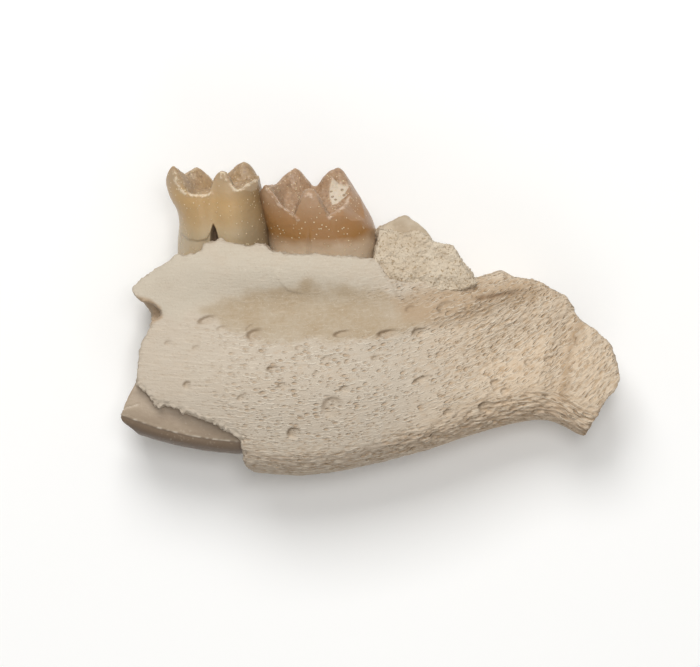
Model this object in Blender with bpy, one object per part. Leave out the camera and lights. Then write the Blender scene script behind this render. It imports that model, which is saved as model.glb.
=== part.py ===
"""Right lower jaw of a fossil rodent, broken at both ends, at its real size.

The jaw lies on its cheek side, as it would rest on a table, with the tongue side up.
Its front points to -X, its chewing edge to +Y, and +Z is up. The origin is at the
bottom of its box, in the middle. Sizes below are in millimetres, and MM makes them metres.
"""

import math

import bmesh
import bpy
from mathutils import Matrix, Vector, noise

MM = 0.001
GAP = 0.28
FLOOR = 0.0

# Bone of the jaw
JAW_FRONT = -11.0
JAW_BACK = 11.0
JAW_RINGS = 52
JAW_SIDES = 40
UPPER_ROUNDING = 6.0
LOWER_ROUNDING = 3.0
BREAK_LEVELS = (0.0, 1.1, 2.2, 3.3, 4.4)
BREAK_BOTTOM = -1.0
BREAK_ROUGHNESS = 0.35
BREAK_GRAIN = 0.55
BREAK_TOP = 9.0

# Front tooth, which runs back inside the bone
INCISOR_RADIUS = 14.5
INCISOR_DEPTH = 3.0
INCISOR_WIDTH = 2.3
INCISOR_LOWEST = (-4.6, -5.53)
INCISOR_MIDDLE = 3.05
ENAMEL_SQUARENESS = 3.2
INNER_SQUARENESS = 2.3
INCISOR_BACK = -3.6
INCISOR_FRONT = -11.5
INCISOR_BREAKS = (((-9.37, -2.53), (-10.05, -4.01)), ((-10.05, -4.01), (-9.80, -4.40)))

# Cheek teeth, each leaning towards the tongue side
TOOTH_LEAN = math.radians(20)
TOOTH_YAW = math.radians(3)
TOOTH_BOTTOM = 1.75
CREST_ROUNDING = 0.16
CREST_SLOPE = 1.4
CREST_BLEND = 0.07
CROWN_ROUNDING = 0.42
WAIST_LENGTH = 0.5
CHEEK_WAIST = 0.38
TONGUE_WAIST = 0.14
SOCKET_TOP = 1.9
FORK_WIDTH = 0.68
FORK_HEIGHT = 1.1
CROWN_GRID = 20
CROWN_LEVELS = 8

VESSEL_DEPTH = 0.22
NERVE_OPENING = (-8.72, 0.22, 4.9)
NERVE_OPENING_RADII = (0.34, 0.50, 0.70)
NERVE_OPENING_TURN = 0.3

# What stands in the third socket
MATRIX_LOW = 1.6
MATRIX_HIGH = 5.0
STUMP_LOW = 2.1
STUMP_HIGH = 4.3
MATRIX_ROUNDING = 0.3


def through(*stations):
    """A smooth function of x that passes through the (x, value) stations."""
    last = len(stations) - 1
    slopes = []
    for i in range(last + 1):
        before, after = stations[max(i - 1, 0)], stations[min(i + 1, last)]
        slopes.append((after[1] - before[1]) / (after[0] - before[0]))

    def value(x):
        x = min(max(x, stations[0][0]), stations[last][0])
        i = 0
        while i < last - 1 and x > stations[i + 1][0]:
            i += 1
        (x0, v0), (x1, v1) = stations[i], stations[i + 1]
        span = x1 - x0
        t = (x - x0) / span
        from_start = (1 + 2 * t) * (1 - t) ** 2 * v0 + t * (1 - t) ** 2 * span * slopes[i]
        from_end = t * t * (3 - 2 * t) * v1 + t * t * (t - 1) * span * slopes[i + 1]
        return from_start + from_end

    return value


def swell(x, y, place, spread, height, turn=0.0):
    """Height at (x, y) of a rounded swelling, longest along its turn; a hollow has a negative height."""
    dx, dy = x - place[0], y - place[1]
    along = (dx * math.cos(turn) + dy * math.sin(turn)) / spread[0]
    across = (dy * math.cos(turn) - dx * math.sin(turn)) / spread[1]
    return height * math.exp(-along * along - across * across)


# The bone's own edges before it broke: the toothless gap and tooth rims above, the belly below.
upper_edge = through(
    (JAW_FRONT, 0.3), (-9.7, 1.3), (-8.6, 2.1), (-7.9, 2.9), (-6.2, 3.5), (-4.0, 3.4),
    (-0.4, 2.9), (2.2, 2.3), (4.1, 1.85), (5.3, 1.95), (6.9, 1.65), (8.4, 0.7), (JAW_BACK, -0.8),
)
lower_edge = through(
    (JAW_FRONT, -4.0), (-8.0, -5.2), (-5.0, -6.15), (-3.1, -6.34), (-1.8, -6.25), (-0.5, -6.02),
    (2.0, -5.39), (4.5, -4.58), (6.3, -4.16), (7.3, -4.18), (8.6, -4.8), (JAW_BACK, -5.6),
)
tongue_side = through(
    (JAW_FRONT, 4.3), (-9, 4.75), (-6, 5.15), (-2, 5.35), (2, 5.1), (5, 4.6), (8, 3.9), (JAW_BACK, 3.4)
)
cheek_side = through(
    (JAW_FRONT, 1.2), (-9, 0.9), (-6, 0.6), (-2, 0.62), (2, 0.9), (5, 1.25), (8, 1.7), (JAW_BACK, 1.95)
)


def tongue_height(x, y):
    """Height of the bone's tongue side, which faces up."""
    return (
        tongue_side(x)
        + swell(x, y, (-4.5, 2.0), (4.6, 1.1), 0.28)  # over the tooth roots
        + swell(x, y, (-2.2, 0.55), (3.6, 0.85), -0.35, -0.03)  # hollow beside the tongue
        + swell(x, y, (-3.5, -2.6), (5.5, 1.9), 0.45)  # over the front tooth's root
        + swell(x, y, (3.4, 0.35), (3.4, 0.42), 0.28, 0.33)  # ridge of the floor of the mouth
        + swell(x, y, (5.4, -1.4), (2.4, 1.25), -0.60, 0.35)  # hollow for the jaw muscle
        + swell(x, y, (7.75, -1.5), (2.0, 0.42), -0.42, 1.33)  # crease ahead of the angle
        + swell(x, y, (9.3, -2.2), (1.0, 1.4), 0.15)
    )


def cheek_height(x, y):
    """Height of the bone's cheek side, which faces the floor."""
    return (
        cheek_side(x)
        + swell(x, y, (-5.6, -2.6), (4.4, 1.4), -0.74)  # over the front tooth's root
        + swell(x, y, (-2.2, 1.5), (2.8, 1.0), -0.80)  # over the tooth roots
        + swell(x, y, (4.9, -0.9), (3.3, 1.3), 1.05, -0.12)  # hollow for the chewing muscle
        + swell(x, y, (4.6, -3.3), (3.6, 0.85), -1.75, 0.05)  # strong crest below that hollow
        + swell(x, y, (4.9, 1.0), (2.6, 0.7), -1.62, -0.1)  # ridge above it
    )


def new_object(name, bm, finish=None):
    """An object made from bm, whose points are in millimetres."""
    bmesh.ops.recalc_face_normals(bm, faces=bm.faces)
    bmesh.ops.scale(bm, vec=(MM, MM, MM), verts=bm.verts)
    mesh = bpy.data.meshes.new(name)
    bm.to_mesh(mesh)
    bm.free()
    mesh.shade_smooth()
    obj = bpy.data.objects.new(name, mesh)
    if finish is None:
        obj.hide_render = True
        obj.display_type = "WIRE"
        bpy.data.collections["cutters"].objects.link(obj)
    else:
        mesh.materials.append(finish)
        bpy.data.collections["rodent_jaw"].objects.link(obj)
    return obj


def ringed_rod(sides, rings, place):
    """A rod of rings whose point at (share of its length, angle) lies where place says."""
    bm = bmesh.new()
    bmesh.ops.create_cone(bm, cap_ends=True, segments=sides, radius1=1, radius2=1, depth=1)
    for ring in range(1, rings):
        level = (0, 0, ring / rings - 0.5)
        everything = [*bm.verts, *bm.edges, *bm.faces]
        bmesh.ops.bisect_plane(bm, geom=everything, plane_co=level, plane_no=(0, 0, 1), dist=1e-6)
    for vert in bm.verts:
        vert.co = place(vert.co.z + 0.5, math.atan2(vert.co.y, vert.co.x))
    return bm


def slab(name, outline, low, high, rounding=0.0, grow=0.0):
    """A closed slab mesh with the outline seen from above, from height low to high."""
    curve = bpy.data.curves.new(name, "CURVE")
    curve.dimensions = "2D"
    curve.fill_mode = "BOTH"
    spline = curve.splines.new("POLY")
    spline.points.add(len(outline) - 1)
    for point, (x, y) in zip(spline.points, outline):
        point.co = (x, y, 0, 1)
    spline.use_cyclic_u = True
    curve.extrude = (high - low) / 2 - rounding
    curve.bevel_depth = rounding
    curve.bevel_resolution = 2
    curve.offset = grow - rounding
    guide = bpy.data.objects.new(name, curve)
    bpy.data.collections["cutters"].objects.link(guide)
    evaluated = guide.evaluated_get(bpy.context.evaluated_depsgraph_get())
    mesh = bpy.data.meshes.new_from_object(evaluated)
    bm = bmesh.new()
    bm.from_mesh(mesh)
    bpy.data.meshes.remove(mesh)
    bpy.data.objects.remove(guide)
    bpy.data.curves.remove(curve)
    bmesh.ops.remove_doubles(bm, verts=bm.verts, dist=1e-4)
    bmesh.ops.translate(bm, verts=bm.verts, vec=(0, 0, (low + high) / 2))
    return bm


def ellipsoid(centre, radii, turn=0.0):
    bm = bmesh.new()
    bmesh.ops.create_uvsphere(bm, u_segments=10, v_segments=6, radius=1)
    shape = Matrix.Translation(centre) @ Matrix.Rotation(turn, 4, "Z") @ Matrix.Diagonal((*radii, 1))
    bmesh.ops.transform(bm, matrix=shape, verts=bm.verts)
    return bm


def boolean(obj, cutter, operation):
    """Cuts or joins obj with cutter at once, and removes the cutter."""
    modifier = obj.modifiers.new(operation.title(), "BOOLEAN")
    modifier.operation = operation
    modifier.solver = "EXACT"
    modifier.object = cutter
    evaluated = obj.evaluated_get(bpy.context.evaluated_depsgraph_get())
    result = bpy.data.meshes.new_from_object(evaluated)
    obj.modifiers.clear()
    spent = obj.data
    obj.data = result
    result.name = obj.name
    bpy.data.meshes.remove(spent)
    bpy.data.objects.remove(cutter)


def finish(name, colour, roughness):
    """A bone, tooth or stone finish."""
    material = bpy.data.materials.new(name)
    material.use_nodes = True
    shader = material.node_tree.nodes["Principled BSDF"]
    shader.inputs["Base Color"].default_value = (*colour, 1)
    shader.inputs["Roughness"].default_value = roughness
    return material


def jaw_section(share, angle):
    """Point of the whole bone at a share of its length and an angle around it."""
    x = JAW_FRONT + (JAW_BACK - JAW_FRONT) * share
    height = (1 - math.cos(angle)) / 2
    y = lower_edge(x) + (upper_edge(x) - lower_edge(x)) * height
    off_middle = abs(2 * height - 1)
    power = UPPER_ROUNDING if height > 0.5 else LOWER_ROUNDING
    fullness = max(0.0, 1 - off_middle**power) ** (1 / power)
    up, down = tongue_height(x, y), cheek_height(x, y)
    side = 1 if math.sin(angle) > 0 else -1
    # The bone rests on small flats, where its lowest parts meet the floor.
    return Vector((x, y, max(FLOOR, (up + down) / 2 + side * fullness * (up - down) / 2)))


# What is left of the bone, seen from above: round the back, along the tooth rims, and down the front.
BROKEN_OUTLINE = (
    (-4.72, -7.0), (8.80, -7.0), (8.66, -4.84), (8.91, -4.37), (9.27, -3.73), (9.55, -3.26), (9.91, -2.87),
    (10.05, -2.44), (10.02, -2.08), (9.84, -1.44), (9.70, -1.02), (9.13, -0.44), (8.48, -0.05), (8.27, 0.27),
    (8.05, 0.70), (7.77, 0.98), (7.13, 1.27), (6.84, 1.52), (5.80, 1.62), (5.41, 1.88), (5.13, 1.88),
    (4.41, 1.63), (3.90, 1.75), (2.50, 2.05), (0.19, 2.38), (-0.30, 2.36), (-0.59, 2.45), (-1.30, 2.48),
    (-2.16, 2.59), (-3.59, 2.56), (-4.02, 2.70), (-4.23, 2.92), (-4.59, 2.98), (-4.95, 2.81), (-5.81, 3.06),
    (-6.01, 3.22), (-6.16, 3.09), (-6.55, 3.02), (-6.73, 2.77), (-7.02, 2.52), (-7.52, 2.48), (-7.87, 2.56),
    (-8.05, 2.22), (-8.65, 1.98), (-9.25, 1.50), (-9.71, 1.19), (-9.30, 0.70), (-8.86, -0.08), (-8.81, -0.33),
    (-9.25, -1.00), (-9.40, -1.30), (-9.42, -2.12), (-9.37, -2.53), (-9.25, -3.20), (-8.60, -4.00),
    (-7.40, -4.60), (-6.20, -4.98), (-5.30, -5.15), (-5.13, -5.49), (-5.08, -5.90), (-4.77, -6.18),
)
# Where the bone's tongue side has come off and the front tooth shows.
INCISOR_WINDOW = (
    (-10.5, -2.60), (-9.31, -2.79), (-8.81, -3.25), (-8.61, -3.60), (-8.19, -3.66), (-7.38, -3.86),
    (-6.66, -4.16), (-5.95, -4.42), (-5.23, -4.78), (-4.88, -5.08), (-5.16, -5.20), (-5.13, -5.49),
    (-5.08, -5.90), (-4.90, -7.0), (-10.5, -7.0),
)
# The sandstone in the last tooth's socket, and the broken tooth that stands up in it.
MATRIX_OUTLINE = (
    (0.33, 3.18), (0.90, 3.30), (1.60, 3.22), (2.30, 3.10), (2.52, 3.02), (2.91, 2.92), (3.20, 2.88),
    (3.41, 2.59), (3.63, 2.31), (3.79, 2.02), (3.92, 1.80), (3.74, 1.56), (2.60, 1.55), (1.60, 1.44),
    (0.90, 1.52), (0.45, 1.95),
)
STUMP_OUTLINE = (
    (0.33, 3.45), (0.48, 3.70), (0.84, 3.88), (1.34, 4.09), (1.91, 3.77), (2.27, 3.42), (2.46, 3.00),
    (2.30, 2.20), (0.95, 2.20), (0.75, 2.80),
)
# Openings of small blood vessels in the tongue side, each with its place, half length, half width and turn.
VESSEL_PITS = (
    (-1.22, -0.64, 0.34, 0.13, 0.05), (0.72, -0.64, 0.42, 0.14, 0.08), (1.95, -0.57, 0.30, 0.12, 0.05),
    (-4.55, -0.68, 0.30, 0.16, -0.2), (-3.05, -4.62, 0.22, 0.15, 0.0), (4.60, -3.55, 0.26, 0.14, 0.1),
    (-3.90, -2.06, 0.24, 0.11, 0.0), (-1.38, -3.60, 0.26, 0.34, 0.5),
)


def roughen_break(bm, outline_height):
    """Bends a slab's upright sides in and out, layer by layer, as bone breaks."""
    bmesh.ops.dissolve_limit(bm, angle_limit=math.radians(0.5), verts=bm.verts, edges=bm.edges)
    for level in BREAK_LEVELS:
        everything = [*bm.verts, *bm.edges, *bm.faces]
        bmesh.ops.bisect_plane(bm, geom=everything, plane_co=(0, 0, level), plane_no=(0, 0, 1), dist=1e-5)
    bm.normal_update()
    inwards = {vert: -Vector((vert.normal.x, vert.normal.y, 0)) for vert in bm.verts}
    for vert, way in inwards.items():
        if vert.co.z > outline_height or way.length < 1e-6:
            continue
        depth = min(1, (outline_height - vert.co.z) / outline_height)
        amount = 0.5 + 0.5 * noise.noise(vert.co / BREAK_GRAIN)
        vert.co += way.normalized() * BREAK_ROUGHNESS * depth * amount


def incisor_section(grow=0.0):
    """Places a ringed rod along the front tooth's arc, thicker all round by grow."""
    centre = Vector((INCISOR_LOWEST[0], INCISOR_LOWEST[1] + INCISOR_RADIUS, 0))

    def place(share, angle):
        x = INCISOR_FRONT + (INCISOR_BACK + grow - INCISOR_FRONT) * share
        down, sideways = -math.cos(angle), math.sin(angle)
        # The enamel runs round the lower side, which is fuller than the inner side.
        squareness = ENAMEL_SQUARENESS if down > 0 else INNER_SQUARENESS
        size = (abs(down) ** squareness + abs(sideways) ** squareness) ** (-1 / squareness)
        drop = (1 + down * size) / 2 * (INCISOR_DEPTH + 2 * grow) - grow
        half_width = (INCISOR_WIDTH / 2 + grow) * sideways * size
        bend = math.asin((x - centre.x) / INCISOR_RADIUS)
        radius = INCISOR_RADIUS - INCISOR_DEPTH + drop
        return Vector((
            centre.x + radius * math.sin(bend),
            centre.y - radius * math.cos(bend),
            INCISOR_MIDDLE + half_width,
        ))

    return place


class Tooth:
    """A cheek tooth: the frame it stands in, the lean of its walls, and the crests of its crown."""

    def __init__(self, corner, front, back, near, far, crests, waist):
        lean = Matrix.Rotation(TOOTH_LEAN, 4, "X")
        yaw = Matrix.Rotation(-TOOTH_YAW, 4, "Y")
        upright = Matrix(((1, 0, 0, 0), (0, 0, 1, 0), (0, -1, 0, 0), (0, 0, 0, 1)))
        self.frame = Matrix.Translation(corner) @ yaw @ lean @ upright
        self.front, self.back, self.near, self.far = front, back, near, far
        self.crests, self.waist = crests, waist

    def surface(self, along, across):
        """Height of the chewing surface: its crests, each falling off on both sides, blended together."""
        total = 0.0
        for crest in self.crests:
            for start, end in zip(crest, crest[1:]):
                a, b = Vector(start[:2]), Vector(end[:2])
                point = Vector((along, across))
                share = min(max((point - a).dot(b - a) / (b - a).length_squared, 0), 1)
                distance = (point - a.lerp(b, share)).length
                fall = math.hypot(distance, CREST_ROUNDING) - CREST_ROUNDING
                height = start[2] + (end[2] - start[2]) * share
                total += math.exp((height - CREST_SLOPE * fall) / CREST_BLEND)
        return CREST_BLEND * math.log(total)

    def wall(self, a, b, height, grow=0.0):
        """Place on the tooth, along and across, of square (a, b) at a height."""
        round_a = a * math.sqrt(1 - CROWN_ROUNDING * b * b)
        round_b = b * math.sqrt(1 - CROWN_ROUNDING * a * a)
        front, back = self.front(height) - grow, self.back(height) + grow
        near, far = self.near(height) - grow, self.far(height) + grow
        along = front + (back - front) * (round_a + 1) / 2
        pinch = math.exp(-(((along - self.waist) / WAIST_LENGTH) ** 2))
        if b > 0:
            far -= CHEEK_WAIST * pinch * b * b
        else:
            near += TONGUE_WAIST * pinch * b * b
        return along, near + (far - near) * (round_b + 1) / 2

    def mesh(self, grow=0.0, flat_top=None):
        """The tooth as a mesh: a gridded crown with walls drawn down from its rim to the socket's floor."""
        bm = bmesh.new()
        bmesh.ops.create_grid(bm, x_segments=CROWN_GRID, y_segments=CROWN_GRID, size=1)
        rim = [edge for edge in bm.edges if edge.is_boundary]
        for level in range(1, CROWN_LEVELS + 1):
            drawn = bmesh.ops.extrude_edge_only(bm, edges=rim)["geom"]
            for item in drawn:
                if isinstance(item, bmesh.types.BMVert):
                    item.co.z = -level / CROWN_LEVELS
            rim = [item for item in drawn if isinstance(item, bmesh.types.BMEdge)]
        bmesh.ops.holes_fill(bm, edges=[edge for edge in rim if edge.is_boundary])
        to_world, from_world = self.frame, self.frame.inverted()
        for vert in bm.verts:
            a, b, drop = vert.co.x, vert.co.y, -vert.co.z
            top = 3.0
            for _ in range(6):
                top = flat_top if flat_top is not None else self.surface(*self.wall(a, b, top, grow))
            along, across = self.wall(a, b, 0, grow)
            at_zero = (to_world @ Vector((along, across, 0))).y
            foot = (TOOTH_BOTTOM - grow - at_zero) / to_world.col[2].y
            height = top + (foot - top) * drop
            along, across = self.wall(a, b, height, grow)
            vert.co = to_world @ Vector((along, across, height))
        return bm


FIRST_TOOTH = Tooth(
    corner=(-7.75, 2.0, 4.25),
    front=through(
        (-1, -0.1), (0.5, -0.09), (1.5, 0.0), (2.1, -0.07), (2.7, -0.36), (3.2, -0.47), (3.7, -0.55),
        (4.3, -0.48),
    ),
    back=through((-1, 3.3), (0.5, 3.36), (1.6, 3.30), (2.6, 3.12), (3.4, 3.0), (4.3, 2.9)),
    near=through((-1, 0.1), (0.5, 0.0), (1.8, -0.08), (3.0, 0.0), (4.3, 0.25)),
    far=through((-1, 3.0), (0.5, 3.1), (1.8, 3.15), (2.8, 3.0), (4.3, 2.6)),
    crests=(
        ((-0.08, 0.48, 4.15), (0.33, 1.40, 3.55), (0.62, 2.45, 3.45)),
        ((-0.08, 0.48, 4.15), (0.50, 0.42, 3.45), (0.90, 0.36, 3.02), (1.55, 0.36, 2.96), (1.98, 0.48, 3.98)),
        ((0.62, 2.45, 3.45), (1.23, 2.45, 2.60), (2.55, 2.35, 3.74)),
        ((1.98, 0.48, 3.98), (2.10, 1.40, 3.05), (2.00, 2.10, 2.90)),
        ((1.98, 0.48, 3.98), (2.32, 0.45, 3.10), (2.72, 0.85, 3.35), (2.82, 1.50, 3.50), (2.55, 2.35, 3.74)),
    ),
    waist=1.5,
)
SECOND_TOOTH = Tooth(
    corner=(-4.15, 2.0, 4.40),
    front=through((-1, 0.1), (0.8, 0.04), (1.3, -0.05), (2.0, -0.20), (2.8, -0.33), (3.6, -0.34)),
    back=through((-1, 3.95), (0.5, 4.15), (1.15, 4.06), (1.9, 3.81), (2.9, 3.36), (3.6, 3.2)),
    near=through((-1, 0.1), (0.5, 0.0), (1.5, -0.10), (2.6, -0.02), (3.6, 0.25)),
    far=through((-1, 3.2), (0.5, 3.35), (1.5, 3.45), (2.4, 3.3), (3.6, 2.9)),
    crests=(
        ((-0.02, 0.50, 3.52), (0.28, 1.40, 3.00), (1.03, 2.60, 3.36)),
        ((-0.02, 0.50, 3.52), (0.40, 0.50, 2.90), (0.92, 0.70, 1.98)),
        ((1.03, 2.60, 3.36), (1.75, 2.50, 2.40), (2.72, 2.55, 3.42)),
        ((1.62, 0.45, 3.12), (1.85, 1.40, 2.20), (1.80, 2.30, 2.35)),
        ((1.62, 0.45, 3.12), (2.02, 0.45, 2.60), (2.40, 0.50, 2.05)),
        ((2.40, 0.50, 2.05), (3.05, 0.75, 2.52), (3.10, 1.50, 2.72), (2.72, 2.55, 3.42)),
    ),
    waist=1.75,
)


def root_fork(tooth, apex):
    """A narrow cone that parts the two roots below the crown, as a cutter, on the tongue side."""
    bm = bmesh.new()
    bmesh.ops.create_cone(
        bm, cap_ends=True, segments=12, radius1=FORK_WIDTH / 2, radius2=FORK_WIDTH / 16, depth=FORK_HEIGHT
    )
    bmesh.ops.translate(bm, verts=bm.verts, vec=(0, 0, -FORK_HEIGHT / 2))
    bmesh.ops.transform(bm, matrix=tooth.frame @ Matrix.Translation(apex), verts=bm.verts)
    return bm


def make_jaw(bone_finish):
    """The bone: the whole jaw's form, cut to what is left of it, then hollowed for what it holds."""
    jaw = new_object("dentary", ringed_rod(JAW_SIDES, JAW_RINGS, jaw_section), bone_finish)
    left_over = slab("left_over", BROKEN_OUTLINE, BREAK_BOTTOM, BREAK_TOP)
    roughen_break(left_over, BREAK_LEVELS[-1] + 0.1)
    boolean(jaw, new_object("left_over", left_over), "INTERSECT")
    window = slab("window", INCISOR_WINDOW, INCISOR_MIDDLE - INCISOR_WIDTH / 2 - GAP, BREAK_TOP)
    boolean(jaw, new_object("window", window), "DIFFERENCE")
    channel = ringed_rod(20, 14, incisor_section(GAP))
    boolean(jaw, new_object("channel", channel), "DIFFERENCE")
    for tooth in (FIRST_TOOTH, SECOND_TOOTH):
        boolean(jaw, new_object("socket", tooth.mesh(GAP, flat_top=SOCKET_TOP)), "DIFFERENCE")
    pit = slab("pit", MATRIX_OUTLINE, MATRIX_LOW - GAP, BREAK_TOP, grow=GAP)
    boolean(jaw, new_object("pit", pit), "DIFFERENCE")
    for x, y, half_length, half_width, turn in VESSEL_PITS:
        hole = ellipsoid((x, y, tongue_height(x, y)), (half_length, half_width, VESSEL_DEPTH), turn)
        boolean(jaw, new_object("vessel", hole), "DIFFERENCE")
    nerve_opening = ellipsoid(NERVE_OPENING, NERVE_OPENING_RADII, NERVE_OPENING_TURN)
    boolean(jaw, new_object("nerve_opening", nerve_opening), "DIFFERENCE")
    return jaw


def make_incisor(tooth_finish):
    """The front tooth, from its oblique broken end to where the bone hides it."""
    incisor = ringed_rod(24, 18, incisor_section())
    for upper, lower in INCISOR_BREAKS:
        everything = [*incisor.verts, *incisor.edges, *incisor.faces]
        outwards = (lower[1] - upper[1], upper[0] - lower[0], 0)
        cut = bmesh.ops.bisect_plane(
            incisor, geom=everything, plane_co=(*upper, 0), plane_no=outwards, clear_outer=True
        )
        ends = [item for item in cut["geom_cut"] if isinstance(item, bmesh.types.BMEdge)]
        bmesh.ops.holes_fill(incisor, edges=ends)
    return new_object("incisor", incisor, tooth_finish)


def make_cheek_tooth(name, tooth, fork, tooth_finish):
    """A cheek tooth with its crown and the part of its roots that stands in the bone."""
    made = new_object(name, tooth.mesh(), tooth_finish)
    boolean(made, new_object("fork", root_fork(tooth, fork)), "DIFFERENCE")
    return made


def make_broken_molar(matrix_finish, tooth_finish):
    """The last tooth's broken stump, and the sandstone that fills its socket round it."""
    filling = slab("filling", MATRIX_OUTLINE, MATRIX_LOW, MATRIX_HIGH, MATRIX_ROUNDING)
    matrix = new_object("matrix_fill", filling, matrix_finish)
    hollow = slab("hollow", STUMP_OUTLINE, STUMP_LOW - GAP, STUMP_HIGH + GAP, grow=GAP)
    boolean(matrix, new_object("hollow", hollow), "DIFFERENCE")
    stump = slab("stump", STUMP_OUTLINE, STUMP_LOW, STUMP_HIGH, MATRIX_ROUNDING)
    new_object("cheek_tooth_3_stump", stump, tooth_finish)


def main():
    for obj in list(bpy.data.objects):
        bpy.data.objects.remove(obj)
    for name in ("rodent_jaw", "cutters"):
        bpy.context.scene.collection.children.link(bpy.data.collections.new(name))
    bone = finish("fossil_bone", (0.62, 0.52, 0.40), 0.75)
    enamel = finish("fossil_enamel", (0.50, 0.35, 0.20), 0.25)
    dentine = finish("incisor_dentine", (0.42, 0.34, 0.24), 0.35)
    sandstone = finish("sandstone", (0.66, 0.56, 0.42), 0.9)
    make_jaw(bone)
    make_incisor(dentine)
    make_cheek_tooth("cheek_tooth_1", FIRST_TOOTH, (1.5, -0.05, 1.5), enamel)
    make_cheek_tooth("cheek_tooth_2", SECOND_TOOTH, (1.75, -0.1, 0.7), enamel)
    make_broken_molar(sandstone, enamel)


main()
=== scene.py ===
# %% [markdown]
# # A fossil rodent's lower jaw
# This notebook dresses the jaw's solids as the real fossil looks: pitted cream bone, amber
# cheek teeth with glassy crests, a grey-brown front tooth, and sandstone in a tooth socket.
# We first load the solids, because every piece below has to stay where its solid is.

# %% Load the solids
import math

import bpy
import numpy as np
from mathutils import Matrix, Vector, noise


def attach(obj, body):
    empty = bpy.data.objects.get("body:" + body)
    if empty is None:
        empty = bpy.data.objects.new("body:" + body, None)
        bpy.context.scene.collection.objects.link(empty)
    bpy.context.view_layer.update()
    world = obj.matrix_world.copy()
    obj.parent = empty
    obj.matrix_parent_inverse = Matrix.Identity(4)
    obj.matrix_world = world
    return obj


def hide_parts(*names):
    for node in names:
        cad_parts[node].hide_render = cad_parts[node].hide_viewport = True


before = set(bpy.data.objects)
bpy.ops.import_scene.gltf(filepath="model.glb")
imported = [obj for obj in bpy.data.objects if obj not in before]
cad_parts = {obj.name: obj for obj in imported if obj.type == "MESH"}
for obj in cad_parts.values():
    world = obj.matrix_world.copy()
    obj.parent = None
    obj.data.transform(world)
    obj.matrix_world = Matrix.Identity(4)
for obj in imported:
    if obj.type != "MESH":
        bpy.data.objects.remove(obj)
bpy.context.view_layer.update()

# %% [markdown]
# ## Units and places
# The jaw is 20 mm long, and many of Blender's tools expect things of about a metre. So each
# piece is modelled with one unit for a millimetre, and is made its real size when it is done.
# The camera looks straight down on the jaw, so a place on the photo is a place in plan:
# 25 of its dots are one millimetre.

# %% Places in plan
DOTS_PER_MM = 25.0
DOT_CENTRE = (371.15, 317.5)


def plan(across, down):
    """The place in plan, in mm, of a dot counted from the picture's top left corner."""
    return (across - DOT_CENTRE[0]) / DOTS_PER_MM, (DOT_CENTRE[1] - down) / DOTS_PER_MM


print("the picture's middle is at", plan(350, 333.5))

# %% [markdown]
# ## Camera
# The fossil was photographed from straight above, so close to square on that its far side
# doesn't show. A long lens from 20 cm away gives that look.

# %% Camera
CAMERA_HEIGHT = 0.2
VIEW_WIDTH = 700 / DOTS_PER_MM / 1000
MEAN_HEIGHT = 0.0043

camera_data = bpy.data.cameras.new("camera")
camera_data.sensor_width = 36
camera_data.lens = 36 * CAMERA_HEIGHT / VIEW_WIDTH
camera_data.clip_start = 0.01
camera = bpy.data.objects.new("camera", camera_data)
bpy.context.collection.objects.link(camera)
middle = plan(350, 333.5)
camera.location = (middle[0] / 1000, middle[1] / 1000, CAMERA_HEIGHT + MEAN_HEIGHT)
bpy.context.scene.camera = camera
print("lens", round(camera_data.lens, 1), "mm")

# %% [markdown]
# ## Studio
# A pale floor, one large soft light from the top of the picture, a weaker one beside the
# camera for the glints on the enamel, a faint one from below, and pale surroundings.
# Soft lights suit bone, whose pits show through small differences of shade. The Standard
# view keeps colours as they are, where a film-like one would grey the white floor.

# %% Studio
bpy.context.scene.view_settings.view_transform = "Standard"


def soft_light(name, place, size, watts):
    """A square light of this size in metres, turned towards the jaw."""
    lamp = bpy.data.lights.new(name, "AREA")
    lamp.size = size
    lamp.energy = watts
    light = bpy.data.objects.new(name, lamp)
    bpy.context.collection.objects.link(light)
    light.location = place
    to_jaw = Vector((0, 0, 0.003)) - light.location
    light.rotation_euler = to_jaw.to_track_quat("-Z", "Y").to_euler()


soft_light("window_light", (-0.025, 0.10, 0.14), 0.09, 0.185)
soft_light("camera_light", (0.01, 0.02, 0.20), 0.05, 0.095)
soft_light("low_light", (0.02, -0.12, 0.10), 0.09, 0.03)
world = bpy.data.worlds.new("studio")
world.use_nodes = True
world.node_tree.nodes["Background"].inputs["Color"].default_value = (1.0, 0.985, 0.96, 1)
world.node_tree.nodes["Background"].inputs["Strength"].default_value = 0.33
bpy.context.scene.world = world

bpy.ops.mesh.primitive_plane_add(size=1.2, location=(0, 0, 0))
floor = bpy.context.object
floor.name = "floor"
print("lights and floor made")

# %% [markdown]
# ## Helpers for modelling
# An operator works on everything that is selected, so each step first selects only its own
# piece. A modifier is applied at once, which bakes its work into the mesh.

# %% Helpers for modelling
def only(piece):
    """Selects this piece alone and makes it the active one."""
    if bpy.context.object and bpy.context.object.mode != "OBJECT":
        bpy.ops.object.mode_set(mode="OBJECT")
    bpy.ops.object.select_all(action="DESELECT")
    piece.select_set(True)
    bpy.context.view_layer.objects.active = piece
    return piece


def applied(piece, kind, **settings):
    """Adds a modifier with these settings, and applies it."""
    only(piece)
    modifier = piece.modifiers.new(kind.title(), kind)
    for name, value in settings.items():
        setattr(modifier, name, value)
    bpy.ops.object.modifier_apply(modifier=modifier.name)
    return piece


def cut(piece, cutter, operation="DIFFERENCE"):
    """Cuts a piece with another, and throws the cutter away."""
    applied(piece, "BOOLEAN", operation=operation, solver="EXACT", object=cutter)
    bpy.data.objects.remove(cutter)
    return piece


def face_outwards(piece):
    """Turns every face's front to the outside."""
    only(piece)
    bpy.ops.object.mode_set(mode="EDIT")
    bpy.ops.mesh.select_all(action="SELECT")
    bpy.ops.mesh.normals_make_consistent(inside=False)
    bpy.ops.object.mode_set(mode="OBJECT")


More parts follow.
